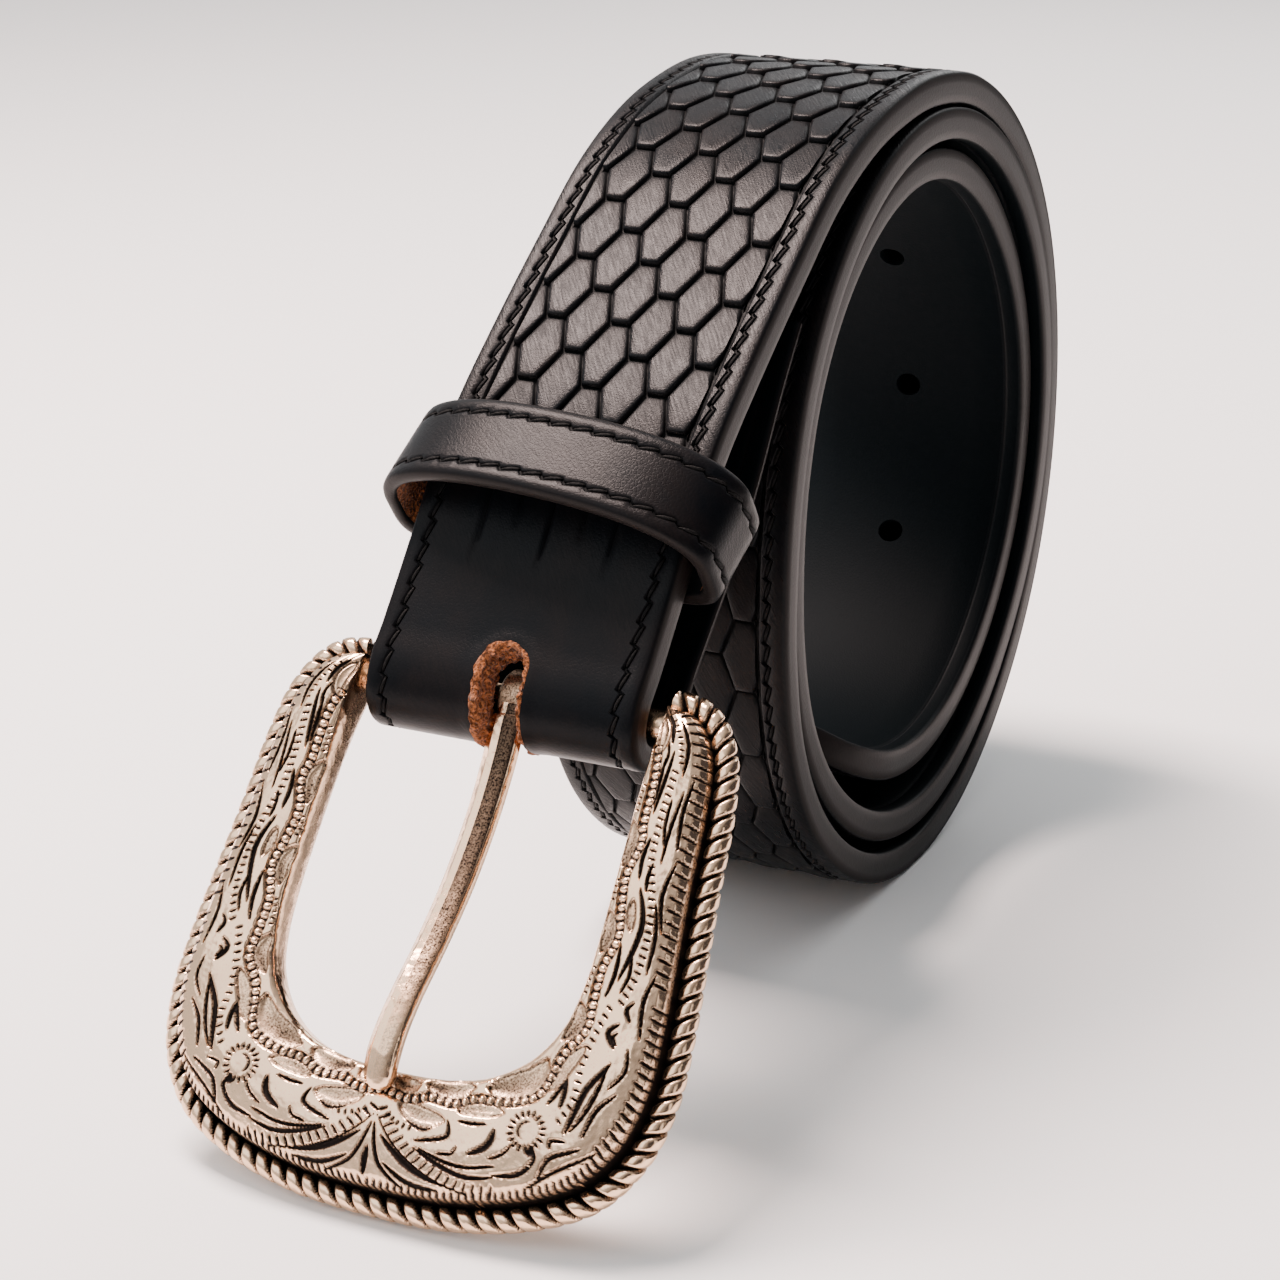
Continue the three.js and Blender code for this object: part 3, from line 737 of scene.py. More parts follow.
class Engraving:
    """Cuts in the buckle's face, gathered as a depth and a darkness at each of its points."""

    def __init__(self, places):
        self.places = places
        self.depth = np.zeros(len(places))
        self.dark = np.zeros(len(places))

    def near(self, path, reach):
        low, high = path.min(0) - reach, path.max(0) + reach
        return np.flatnonzero(((self.places > low) & (self.places < high)).all(1))

    def gap(self, near, path):
        """How far each place is from a path, and how far along the path that is, from 0 to 1."""
        here = self.places[near]
        legs = np.linalg.norm(np.diff(path, axis=0), axis=1)
        start = lengths_along(path)
        gap, share = np.full(len(near), 99.0), np.zeros(len(near))
        for k, leg in enumerate(legs):
            way = (path[k + 1] - path[k]) / max(leg, 1e-6)
            along = np.clip((here - path[k]) @ way, 0, leg)
            now = np.linalg.norm(here - path[k] - along[:, None] * way, axis=1)
            closer = now < gap
            gap[closer] = now[closer]
            share[closer] = ((start[k] + along) / start[-1])[closer]
        return gap, share

    def cut(self, path, width, deep=0.36, taper=1.0):
        """A groove along a path, which narrows towards its ends as a graver's stroke does."""
        near = self.near(path, width * 0.7 + 0.1)
        if not len(near):
            return
        gap, share = self.gap(near, path)
        half = width / 2 * (1 - taper + taper * np.sqrt(np.clip(4 * share * (1 - share), 0.03, 1)))
        ratio = gap / half
        self.deepen(near, deep * np.clip(1 - ratio ** 2, 0, 1), np.clip(2.5 - 1.8 * ratio, 0, 1))

    def deepen(self, near, depth, dark):
        self.depth[near] = np.maximum(self.depth[near], depth)
        self.dark[near] = np.maximum(self.dark[near], dark)

    def dish(self, path, width, deep, shade):
        """A hollow leaf along a path, with a cut outline and a floor darkened by painted shade, most in its
        middle and towards the path's end.
        """
        near = self.near(path, width / 2 + 0.4)
        if not len(near):
            return
        gap, share = self.gap(near, path)
        half = width / 2 * np.clip(4 * share * (1 - share), 0.02, 1) ** 0.6
        ratio = np.clip(gap / half, 0, 2)
        line = np.clip(1.5 - np.abs(gap - half) / (LEAF_LINE / 2), 0, 1)
        # Painted shade on the floor: darker in the middle and towards the path's end, as a hollow in shade
        # looks.
        floor = shade * np.sqrt(np.clip(1.15 - ratio, 0, 1)) * np.clip(0.35 + share, 0, 1)
        bowl = deep * np.clip(1 - ratio ** 2, 0, 1) ** 0.7
        self.deepen(near, bowl + 0.2 * line, np.maximum(0.8 * line, floor))


# The ornament is laid out on the right post and half of the foot, by distance along the U and share across
U_PLACES = 2001
U_T, U_LENGTH = even_t(U_PLACES)
MIDDLE_OF_U = U_LENGTH / 2


def evenly(shares):
    """Places along the U at shares of its length."""
    return np.interp(shares, np.linspace(0, 1, U_PLACES), U_T)


def face_edges(t):
    """The two edges of the face: at the rope's channel and at the window."""
    line, inward = rope_line(t)
    return line + inward * (ROPE_RADIUS - ROPE_BITE), whole_u(2, 3, t)


def face_at(distance, across):
    """A place on the face: its distance along the U from the right post's end, and the share across it."""
    channel, window = face_edges(evenly(np.atleast_1d(distance) / U_LENGTH))
    return (channel + (window - channel) * np.atleast_1d(across)[:, None])[:, :2]


def flowing(places, count=17):
    """A smooth path on the face through places given by distance and share across."""
    rows = catmull(places, False, np.linspace(0, 1, count))
    return face_at(rows[:, 0], rows[:, 1])


def both(tool, path, *how):
    """Use a tool on a path and on its mirror image, because the two posts match."""
    tool(path, *how)
    tool(path * (-1, 1), *how)


def cross_cuts(engraving, places, pitch, length, width, slant=0.25):
    """A row of short cuts across a path."""
    path = flowing(places, 60)
    run = lengths_along(path)
    for at in np.arange(pitch / 2, run[-1], pitch):
        here, after = (np.array([np.interp(x, run, path[:, k]) for k in (0, 1)]) for x in (at, at + 0.1))
        way = (after - here) / max(np.linalg.norm(after - here), 1e-6)
        half = (np.array([-way[1], way[0]]) + way * slant) * length / 2
        both(engraving.cut, np.array([here - half, here + half]), width, 0.3, 0.45)


# Graver's strokes: full width, then places along them as distance and share across
STROKES = [
    (0.4, [(9, 0.64), (12, 0.62), (15, 0.7)]),
    (0.5, [(16.5, 0.2), (21, 0.27), (26, 0.24)]),
    (0.45, [(19, 0.44), (22.5, 0.46), (25.5, 0.42)]),
    (0.55, [(27.5, 0.22), (32, 0.3), (36.5, 0.23)]),
    (0.5, [(28, 0.5), (30, 0.53), (32, 0.51)]),
    (0.5, [(40, 0.52), (43, 0.49), (46, 0.55)]),
    (0.55, [(41.5, 0.2), (45.5, 0.27), (50, 0.22)]),
    (0.5, [(52, 0.3), (55, 0.26), (58.5, 0.33)]),
    (0.5, [(68, 0.3), (69.6, 0.36), (70.6, 0.31)]),
    (0.55, [(66, 0.12), (72, 0.17), (78, 0.11)]),
    (0.5, [(75, 0.44), (77.4, 0.38), (80.4, 0.35)]),
    (0.45, [(84.6, 0.46), (86.4, 0.4), (89.2, 0.4)]),
    (0.45, [(88.4, 0.6), (91, 0.57), (94.4, 0.62)]),
    (0.6, [(3, 0.62), (6, 0.54), (10, 0.56)]),
    (0.5, [(6, 0.34), (11, 0.3), (16, 0.36)]),
    (0.55, [(11.5, 0.52), (16, 0.6), (21, 0.67)]),
    (0.5, [(12.5, 0.66), (16, 0.68), (20, 0.7)]),
    (0.45, [(18, 0.3), (23, 0.38), (28, 0.4)]),
    (0.6, [(24.5, 0.62), (27.5, 0.66), (30.5, 0.64)]),
    (0.75, [(31.5, 0.6), (36.5, 0.47), (44.5, 0.61)]),
    (0.5, [(33, 0.36), (37, 0.29), (42, 0.3)]),
    (0.6, [(39.5, 0.68), (43.5, 0.66), (47.5, 0.7)]),
    (0.6, [(46, 0.36), (47.5, 0.42), (48.8, 0.35)]),
    (0.7, [(49.6, 0.45), (51.6, 0.54), (53.2, 0.43)]),
    (0.5, [(50.8, 0.44), (51.8, 0.48), (52.6, 0.42)]),
    (0.85, [(55, 0.4), (60.8, 0.47), (67.6, 0.35)]),
    (0.6, [(55.6, 0.42), (61, 0.38), (67, 0.34)]),
    (0.6, [(58, 0.24), (61.8, 0.31), (66.2, 0.25)]),
    (0.65, [(61.2, 0.66), (63.4, 0.58), (65.4, 0.52)]),
    (0.65, [(61.2, 0.66), (63.8, 0.63), (66.4, 0.6)]),
    (0.7, [(67, 0.2), (71.5, 0.26), (75.5, 0.15)]),
    (0.95, [(72.3, 0.38), (73.6, 0.35), (72.9, 0.33)]),
    (0.75, [(72.6, 0.36), (74, 0.28), (77.5, 0.215), (81, 0.235)]),
    (1, [(76.2, 0.57), (79.2, 0.45), (83.4, 0.4)]),
    (0.55, [(77, 0.62), (79.5, 0.63), (82.4, 0.66)]),
    (0.6, [(79.5, 0.3), (86, 0.31), (92.6, 0.43)]),
    (0.75, [(81, 0.22), (86.2, 0.24), (93, 0.42)]),
    (0.65, [(84.6, 0.66), (86.2, 0.53), (92.8, 0.48)]),
    (0.35, [(85.8, 0.1), (90.5, 0.19), (96.2, 0.38), (101.2, 0.62)]),
    (0.95, [(89.5, 0.16), (94.5, 0.27), (99.6, 0.47)]),
    (0.7, [(90.5, 0.12), (95, 0.15), (98.6, 0.26)]),
    (0.6, [(95.6, 0.09), (99.4, 0.25), (101.4, 0.56)]),
    (0.9, [(101.62, 0.14), (101.64, 0.25), (101.66, 0.37)]),
]
# Hollow leaves and bays: width, depth, how dark the floor's painted shade is, and the path
HOLLOWS = [
    (1.5, 0.3, 0.35, [(2.5, 0.84), (6.5, 0.74), (11, 0.8)]),
    (1, 0.25, 0.5, [(33.4, 0.66), (35.5, 0.64), (37.4, 0.6)]),
    (1.6, 0.42, 0.8, [(21.8, 0.965), (25, 0.885), (28.8, 0.925)]),
    (1.6, 0.42, 0.85, [(35.6, 0.955), (38.4, 0.87), (41.6, 0.91)]),
    (1.8, 0.42, 0.85, [(50.2, 0.95), (53.2, 0.875), (57, 0.92)]),
    (1.7, 0.3, 0.45, [(55.6, 0.7), (60, 0.73), (64.6, 0.69)]),
    (3.4, 0.6, 0.85, [(61.4, 0.9), (66.2, 0.835), (72.6, 0.91)]),
    (1.6, 0.3, 0.7, [(73, 0.69), (77, 0.745), (81.2, 0.74)]),
    (2.5, 0.5, 0.95, [(75.2, 0.935), (81, 0.9), (88, 0.945)]),
    (2.2, 0.4, 0.6, [(85.8, 0.66), (90.5, 0.67), (96.6, 0.745)]),
    (1.9, 0.4, 0.95, [(91, 0.94), (95.2, 0.9), (99.6, 0.945)]),
]
# Rows of short cuts: pitch, length, width, and the path
DASH_ROWS = [
    (0.85, 0.5, 0.3, [(4.5, 0.5), (9, 0.42), (14, 0.4)]),
    (1, 0.8, 0.36, [(14.5, 0.46), (20.2, 0.53), (27, 0.54), (31.5, 0.44), (36, 0.38), (42, 0.4), (47, 0.5)]),
    (1.05, 0.75, 0.36, [(47.8, 0.6), (53, 0.66), (58, 0.63), (62.8, 0.5), (67.5, 0.44)]),
    (1.15, 1.25, 0.42, [(82, 0.115), (86.8, 0.155), (91, 0.275), (96, 0.46), (100.9, 0.69)]),
    (0.9, 0.55, 0.32, [(93, 0.565), (97, 0.6), (101.2, 0.72)]),
    (0.8, 0.4, 0.3, [(16, 0.9), (17.8, 0.93), (20.4, 0.925)]),
    (0.8, 0.4, 0.3, [(30.6, 0.93), (32.6, 0.95), (34.6, 0.93)]),
    (0.8, 0.4, 0.3, [(43.6, 0.92), (46.4, 0.95), (49.2, 0.93)]),
]
BEADED_BAND = [
    (9, 0.86), (15.5, 0.79), (22, 0.79), (25.4, 0.75), (30.2, 0.85), (35, 0.8), (39, 0.75),
    (43.8, 0.84), (48.5, 0.82), (53.2, 0.775), (58.5, 0.83), (62.8, 0.77), (67, 0.71), (72.2, 0.775),
    (76.2, 0.83), (81.5, 0.8), (88, 0.84), (94, 0.8), (101.7, 0.84),
]
BAND_WIDTH = 1.5
BEAD_PITCH = 1.12
# Cuts beside the channel: from, to, share across, pitch and length
MARGINS = [
    (3.5, 44.0, 0.145, 1.5, 1.3),
    (44.8, 66.0, 0.105, 1.3, 1.25),
    (66.6, MIDDLE_OF_U, 0.08, 0.95, 1.05),
]
MARGIN_CUT = 0.52
ROSETTE = (71.6, 0.50)
ROSETTE_RADIUS = 2.2


def beaded_band(engraving):
    """A winding band with a dark floor and a row of bright beads standing in it."""
    path = flowing(BEADED_BAND, 240)
    length = np.linalg.norm(np.diff(path, axis=0), axis=1).sum()
    for line in (path, path * (-1, 1)):
        near = engraving.near(line, BAND_WIDTH)
        gap, share = engraving.gap(near, line)
        floor = np.clip((BAND_WIDTH / 2 - gap) / 0.16, 0, 1) * (share > 0) * (share < 1)
        bead = np.abs((share * length / BEAD_PITCH) % 1 - 0.5) * BEAD_PITCH
        lump = np.clip(1.35 - 1.3 * np.hypot(bead / 0.42, gap / 0.62) ** 2, 0, 1)
        engraving.deepen(near, floor * (0.36 - 0.36 * lump), floor * (1 - np.clip(lump * 2.2, 0, 1)))


def rosette(engraving):
    middle = face_at(*ROSETTE)[0]
    turn = bearings(18)
    rays = np.stack([np.cos(turn), np.sin(turn)], 1)
    for ray in rays:
        both(engraving.cut, middle + ray * np.array([[0.78], [1.1]]) * ROSETTE_RADIUS, 0.4, 0.3, 0.5)
    arc = middle + rays[4:13] * 0.5 * ROSETTE_RADIUS
    both(engraving.cut, arc, 0.4, 0.2)


def ornament(engraving):
    """Scrolls, leaves, a beaded band and ladder rows, in the manner of any Western buckle."""
    beaded_band(engraving)
    for width, deep, shade, places in HOLLOWS:
        both(engraving.dish, flowing(places), width, deep, shade)
    for pitch, length, width, places in DASH_ROWS:
        cross_cuts(engraving, places, pitch, length, width)
    for width, places in STROKES:
        both(engraving.cut, flowing(places), width)
    rosette(engraving)
    for start, end, across, pitch, length in MARGINS:
        places = [(distance, across) for distance in np.linspace(start, end, 12)]
        cross_cuts(engraving, places, pitch, length, MARGIN_CUT, 0.35)


# The face from the channel (0) to the window (1): share across, and height as a share of the crown's
CROWN = [(0, 0.2), (0.03, 0.3), (0.07, 0.74), (0.14, 0.87), (0.26, 0.95), (0.42, 1), (0.56, 1), (0.7, 0.975),
         (0.85, 0.93)]
# The same as a share of the window edge's height, which takes over near the window
RIM = [(0.62, 1.1), (0.8, 1.06), (0.9, 1.02), (0.955, 0.99), (0.982, 0.94), (1.0, 0.86)]
RIM_FROM = 0.62
RIM_BLEND = 0.3
# Down the window's wall: share of its height, and how far it leans out; then across the back
WALL = [(0.7, -0.004), (0.45, 0.0), (0.2, 0.02), (0.06, 0.05)]
BACK = [0.09, 0.35, 0.65, 0.97]
WALL_AND_BACK_TARNISH = [0.12, 0.22, 0.3, 0.3, 0.2, 0.1, 0.1, 0.3]


def frame_face():
    """The cast face with its engraving, its rim, window wall and back."""
    t = evenly(np.linspace(0, 1, FACE_ROWS))
    channel, window = face_edges(t)
    across = np.linspace(0, 1, FACE_COLUMNS)
    top = channel[:, None] + (window - channel)[:, None] * across[None, :, None]
    back, crown, lip = (u_height(k, t)[:, None] for k in (4, 5, 6))
    high, rim = (np.interp(across, *zip(*profile)) for profile in (CROWN, RIM))
    share = np.clip((across - RIM_FROM) / RIM_BLEND, 0, 1)
    top[:, :, 2] = (back + high * (crown - back)) * (1 - share) + (back + rim * (lip - back)) * share
    engraving = Engraving(top.reshape(-1, 3)[:, :2])
    ornament(engraving)
    top[:, :, 2] -= engraving.depth.reshape(FACE_ROWS, FACE_COLUMNS)
    wall = np.stack([window + (0, 0, 1) * (back + (lip - back) * s) + (channel - window) * k
                     for s, k in WALL], 1)
    under = np.stack([window + (channel - window) * k + (0, 0, 1) * back for k in BACK], 1)
    table = np.concatenate([top, wall, under], 1)
    obj = swept("buckle_face", table)
    in_channel = np.clip((0.075 - across) / 0.025, 0, 1)[None]
    dark = np.maximum(engraving.dark.reshape(FACE_ROWS, FACE_COLUMNS), in_channel)
    rest = np.broadcast_to(WALL_AND_BACK_TARNISH, (FACE_ROWS, len(WALL_AND_BACK_TARNISH)))
    carry(obj, "tarnish_and_shade", table, np.concatenate([dark, rest], 1))
    return to_part(obj, BUCKLE_TURN)


def carry(obj, name, table, values):
    """Give each vertex the value of the table's point that it was placed at."""
    known = {tuple(place): value for place, value in zip(np.round(table.reshape(-1, 3), 3), np.ravel(values))}
    attribute(obj, name, [known.get(tuple(place), 0) for place in np.round(points_of(obj), 3)])


# The wedge between two strands, which widens towards the channel, and a nick beside it: places and widths
# are shares of a strand, and depths are in millimetres
WEDGE_HALF = 0.12
WEDGE_MORE = 0.14
WEDGE_DEPTH = 0.5
NICK_AT = 0.24
NICK_WIDTH = 0.035
NICK_DEPTH = 0.1
STRAND_ROUND = 0.35


def rope_edge():
    """The rope: two fat strands wound round each other, with dark wedges between them."""
    lays = round(U_LENGTH / ROPE_LAY)
    rows, sides = lays * ROPE_ROWS_PER_LAY, ROPE_SIDES
    t = evenly(np.linspace(0, 1, rows))
    line, inward = rope_line(t)
    angle = bearings(sides)[None]
    phase = (np.linspace(0, lays, rows)[:, None] + 2 * angle / math.tau) % 1
    apart = np.minimum(phase, 1 - phase)
    to_channel = np.clip(np.cos(angle) * 0.5 + 0.5, 0, 1)
    wedge = WEDGE_HALF + WEDGE_MORE * to_channel
    nick = NICK_DEPTH * np.exp(-((phase - NICK_AT) / NICK_WIDTH) ** 2) * to_channel
    groove = WEDGE_DEPTH * np.clip(1 - apart / wedge, 0, 1) ** 1.1 + nick
    radius = ROPE_RADIUS - STRAND_ROUND * (2 * np.clip(apart - 0.5, -0.5, 0)) ** 4 - groove
    table = line[:, None] + inward[:, None] * (radius * np.cos(angle))[:, :, None]
    table[:, :, 2] = ROPE_HEIGHT + radius * np.sin(angle)
    obj = swept("rope_edge", table)
    dark = np.clip(groove / 0.07 - 0.3, 0, 1) + np.clip(np.cos(angle - 0.1) * 3 - 1.5, 0, 1)
    carry(obj, "tarnish_and_shade", table, np.clip(dark, 0, 1))
    return to_part(obj, BUCKLE_TURN)


BAR_RADIUS = 1.9
BAR_SPARE = 3.1
# The prong from the bar to its tip: distance from the bar, height of its middle, width and depth
PRONG = [
    (1.2, 3.0, 3.3, 1.5), (2.6, 2.75, 3.5, 1.8), (3.2, 2.7, 4.7, 2.2), (8.0, 2.1, 4.6, 2.3),
    (15.0, 2.0, 4.4, 2.3), (24.0, 3.1, 4.3, 2.3), (32.4, 5.3, 4.2, 2.2), (40.4, 8.1, 4.2, 2.3),
    (44.5, 9.1, 4.3, 2.4), (47.6, 9.3, 4.4, 2.5), (50.2, 8.85, 4.2, 2.4), (51.2, 8.6, 3.5, 2.1),
    (51.8, 8.45, 2.0, 1.3),
]
# The prong's section: across, up and how dark its skin is, which is a painted dark reflection of the belt on
# the top facet and a little painted shade below
PRONG_SECTION = [
    (-0.5, 0.95, 0), (-0.1, 1, 0), (-0.05, 1, 1), (0.0, 0.995, 0.96), (0.3, 0.96, 0.93),
    (0.6, 0.87, 0.93), (0.76, 0.74, 0.97), (0.81, 0.69, 1), (0.84, 0.65, 0), (0.97, 0.35, 0),
    (1, 0.1, 0.1), (1, -0.35, 0.2), (0.86, -0.8, 0.2), (0.55, -1, 0.1), (-0.55, -1, 0.1),
    (-0.86, -0.8, 0.1), (-1, -0.35, 0), (-1, 0.1, 0), (-0.95, 0.3, 0),
]
# How much of the painted dark reflection and shade is left, by row of the prong's table: it fades out towards
# the tip
PRONG_REFLECTION_FADE = [(0, 1), (3, 1), (5, 0.97), (6.5, 0.8), (8, 0.3), (10.5, 0)]
# The prong's eye round the bar: across and radius
PRONG_EYE = [(-1.9, 2.35), (-1.9, 3.5), (-1.5, 3.85), (1.5, 3.85), (1.9, 3.5), (1.9, 2.35), (1.7, 2.2),
             (-1.7, 2.2)]
PRONG_SKEW = math.radians(-0.6)
PRONG_PLACES = 120


def prong_shank():
    rows = np.array(PRONG)
    place = np.linspace(0, len(rows) - 1, PRONG_PLACES)
    middle = catmull([(0, -v, w) for v, w, _, _ in PRONG], True, np.linspace(0, 1, PRONG_PLACES))
    along = np.gradient(middle, axis=0)
    along /= np.linalg.norm(along, axis=1)[:, None]
    up = np.stack([np.zeros(PRONG_PLACES), along[:, 2], -along[:, 1]], 1)
    up *= np.sign(up[:, 2:])
    half, deep = (np.interp(place, np.arange(len(rows)), rows[:, k]) / 2 for k in (2, 3))
    section = np.array(PRONG_SECTION)
    table = middle[:, None] + up[:, None] * (deep[:, None] * section[None, :, 1])[:, :, None]
    table[:, :, 0] = half[:, None] * section[None, :, 0]
    obj = swept("prong_shank", table)
    fade = np.interp(place, *zip(*PRONG_REFLECTION_FADE))
    # Painted dark reflection and shade on the prong, fading out towards the tip.
    carry(obj, "tarnish_and_shade", table, np.clip(fade[:, None] * section[None, :, 2], 0, 1))
    return obj


def lathe(name, profile, sides):
    """A closed ring turned about X: profile rows are (across, radius)."""
    angle = bearings(sides)
    across, radius = np.array(profile).T[:, None]
    turned = radius * np.cos(angle)[:, None], radius * np.sin(angle)[:, None]
    table = np.stack([np.broadcast_to(across, turned[0].shape), *turned], 2)
    return swept(name, table, looped=True)


def prong():
    ring = lathe("prong_eye", PRONG_EYE, 48)
    # Painted shade: the eye round the bar is darkened evenly, as it sits in shadow.
    attribute(ring, "tarnish_and_shade", np.full(len(ring.data.vertices), 0.55))
    obj = join([prong_shank(), ring], "buckle_prong")
    return to_part(obj, BUCKLE_TURN @ Matrix.Rotation(PRONG_SKEW, 4, "Z"))


def heel_bar():
    window_edge = FRAME[0][2]
    obj = fresh("heel_bar", bpy.ops.mesh.primitive_cylinder_add, vertices=32, radius=BAR_RADIUS,
                depth=2 * window_edge + BAR_SPARE, rotation=(0, math.pi / 2, 0))
    bpy.ops.object.transform_apply(location=True, rotation=True, scale=True)
    apply(obj, "BEVEL", width=0.25, segments=2, limit_method="ANGLE")
    return to_part(obj, BUCKLE_TURN)


# Materials

def give(tree, socket, value):
    """Set a socket to a number, a vector or a colour, or link another node's output to it."""
    if isinstance(value, bpy.types.NodeSocket):
        tree.links.new(value, socket)
    elif socket.type == "RGBA":
        socket.default_value = (*value, 1)
    else:
        socket.default_value = value


def node(tree, kind, inputs, output=0, **settings):
    """One output of a new shader node."""
    made = tree.nodes.new("ShaderNode" + kind)
    for name, value in settings.items():
        setattr(made, name, value)
    for name, value in inputs.items():
        give(tree, made.inputs[name], value)
    return made.outputs[output]


def maths(tree, operation, a, b, clamp=False):
    return node(tree, "Math", {0: a, 1: b}, operation=operation, use_clamp=clamp)


def plus(tree, a, b, clamp=False):
    return maths(tree, "ADD", a, b, clamp)


def times(tree, a, b):
    return maths(tree, "MULTIPLY", a, b)


def ramp(tree, value, low, high, to_low=0.0, to_high=1.0):
    ends = {"Value": value, "From Min": low, "From Max": high, "To Min": to_low, "To Max": to_high}
    return node(tree, "MapRange", ends, clamp=True)


def mix(tree, share, a, b):
    return node(tree, "Mix", {0: share, 6: a, 7: b}, 2, data_type="RGBA")


def where(tree, kind="Object"):
    return node(tree, "TexCoord", {}, kind)


def noise(tree, place, scale, detail=2):
    return node(tree, "TexNoise", {"Vector": place, "Scale": scale, "Detail": detail})


def read(tree, name):
    return node(tree, "Attribute", {}, "Fac", attribute_name=name)


def dress(tree, one, **sockets):
    """Give values to a node's inputs, named with a low line for each space."""
    for name, value in sockets.items():
        give(tree, one.inputs[name.replace("_", " ")], value)


def group(name, ins, outs):
    """A node group of plain numbers: its tree, what comes in, and the node for what goes out."""
    tree = bpy.data.node_groups.new(name, "ShaderNodeTree")
    for label, value in ins.items():
        tree.interface.new_socket(label, in_out="INPUT", socket_type="NodeSocketFloat").default_value = value
    for label in outs:
        tree.interface.new_socket(label, in_out="OUTPUT", socket_type="NodeSocketFloat")
    return tree, tree.nodes.new("NodeGroupInput").outputs, tree.nodes.new("NodeGroupOutput")


def place_group(tree, made, **values):
    one = tree.nodes.new("ShaderNodeGroup")
    one.node_tree = made
    dress(tree, one, **values)
    return one.outputs


def grain_group():
    """Leather grain: fine pores and creases as a height, and a slow mottle."""
    tree, given, out = group("leather_grain", {"Size": 1.0}, ["Height", "Mottle"])
    place = node(tree, "VectorMath", {0: where(tree), "Scale": given["Size"]}, operation="SCALE")
    pores = node(tree, "TexVoronoi", {"Vector": place, "Scale": 1900}, "Distance", feature="DISTANCE_TO_EDGE")
    cells = ramp(tree, pores, 0.0, 0.18)
    height = plus(tree, times(tree, cells, 0.5), times(tree, noise(tree, place, 2600, 3), 0.6))
    dress(tree, out, Height=height, Mottle=noise(tree, place, 130, 4))
    return tree


def rub_and_sheen_group():
    """Fine slanted rubbed streaks that follow the strip's own UV map: they roughen and bump the leather, and
    lighten its colour as a painted sheen. Streaks is how much they show.
    """
    tree, given, out = group("rub_and_sheen_marks", {"Slant": 0.6, "Streaks": 1.0}, ["Marks"])
    turn = {"Vector": where(tree, "UV"), "Angle": given["Slant"]}
    slanted = node(tree, "VectorRotate", turn, rotation_type="Z_AXIS")
    rub_and_sheen = noise(tree, node(tree, "Mapping", {"Vector": slanted, "Scale": (13, 130, 1)}), 1, 5)
    even = times(tree, maths(tree, "SUBTRACT", 1.0, given["Streaks"]), 0.5)
    dress(tree, out, Marks=plus(tree, times(tree, rub_and_sheen, given["Streaks"]), even))
    return tree


GRAIN = grain_group()
RUB_AND_SHEEN = rub_and_sheen_group()


def material(name, base, roughness, **sockets):
    made = bpy.data.materials.new(name)
    made.use_nodes = True
    shader = made.node_tree.nodes["Principled BSDF"]
    dress(made.node_tree, shader, Base_Color=base, Roughness=roughness, **sockets)
    return made, made.node_tree, shader


def bump(tree, height, strength, distance):
    return node(tree, "Bump", {"Height": height, "Strength": strength, "Distance": distance})


def black_leather(name, gloss, streaks=1.0):
    """Waxed leather: streaked on its face with a painted pinkish-brown sheen, brown on its cut edge,
    blue-black inside, and darkened in its grooves by painted shade.
    """
    made, tree, shader = material(name, (0.01, 0.009, 0.01), 0.42, Specular_IOR_Level=gloss)
    grain = place_group(tree, GRAIN, Size=1.0)
    edge, inside, groove = read(tree, "edge"), read(tree, "inside"), read(tree, "groove")
    face = maths(tree, "SUBTRACT", 1.0, plus(tree, edge, inside, True))
    rub_and_sheen = times(tree, place_group(tree, RUB_AND_SHEEN, Slant=0.6, Streaks=streaks)["Marks"], face)
    # Painted sheen: the rubbed streaks lighten the face from blue-black to a warm pinkish brown.
    top = mix(tree, ramp(tree, rub_and_sheen, 0.35, 0.7), (0.001, 0.0015, 0.0024), (0.0095, 0.0068, 0.0064))
    mottled = mix(tree, ramp(tree, grain["Mottle"], 0.35, 0.65), top, (0.0018, 0.0024, 0.0034))
    # Painted shade: the grooves between the scales, by the border and along the stitches are darkened to near
    # black.
    shaded_grooves = mix(tree, groove, mottled, (0.0005, 0.0007, 0.001))
    cut = mix(tree, edge, shaded_grooves, (0.011, 0.009, 0.0086))
    lined = mix(tree, inside, cut, (0.001, 0.0025, 0.0034))
    rough = plus(tree, ramp(tree, rub_and_sheen, 0.4, 0.62, 0.42, 0.25), times(tree, groove, 0.3))
    rough = plus(tree, rough, times(tree, inside, 0.2))
    relief = bump(tree, plus(tree, times(tree, grain["Height"], 0.3), rub_and_sheen), 0.42, 0.00016)
    dress(tree, shader, Base_Color=lined, Roughness=rough, Normal=relief)
    return made


def raw_leather():
    made, tree, shader = material("raw_leather", (0.3, 0.12, 0.05), 1.0, Specular_IOR_Level=0.02,
                                  Sheen_Weight=0.15, Sheen_Roughness=0.5)
    fuzz = noise(tree, where(tree), 2300, 6)
    colour = mix(tree, ramp(tree, fuzz, 0.4, 0.64), (0.03, 0.01, 0.0035), (0.6, 0.2, 0.07))
    mottle = place_group(tree, GRAIN, Size=0.7)["Mottle"]
    colour = mix(tree, ramp(tree, mottle, 0.4, 0.7), colour, (0.18, 0.057, 0.018))
    dress(tree, shader, Base_Color=colour, Normal=bump(tree, fuzz, 1.0, 0.0008))
    return made


def black_thread():
    made, tree, shader = material("black_thread", (0.004, 0.004, 0.004), 0.65, Specular_IOR_Level=0.09)
    twist = noise(tree, where(tree), 3500)
    colour = mix(tree, twist, (0.0008, 0.0008, 0.001), (0.008, 0.0075, 0.0075))
    dress(tree, shader, Base_Color=colour, Normal=bump(tree, twist, 0.8, 0.0002))
    return made


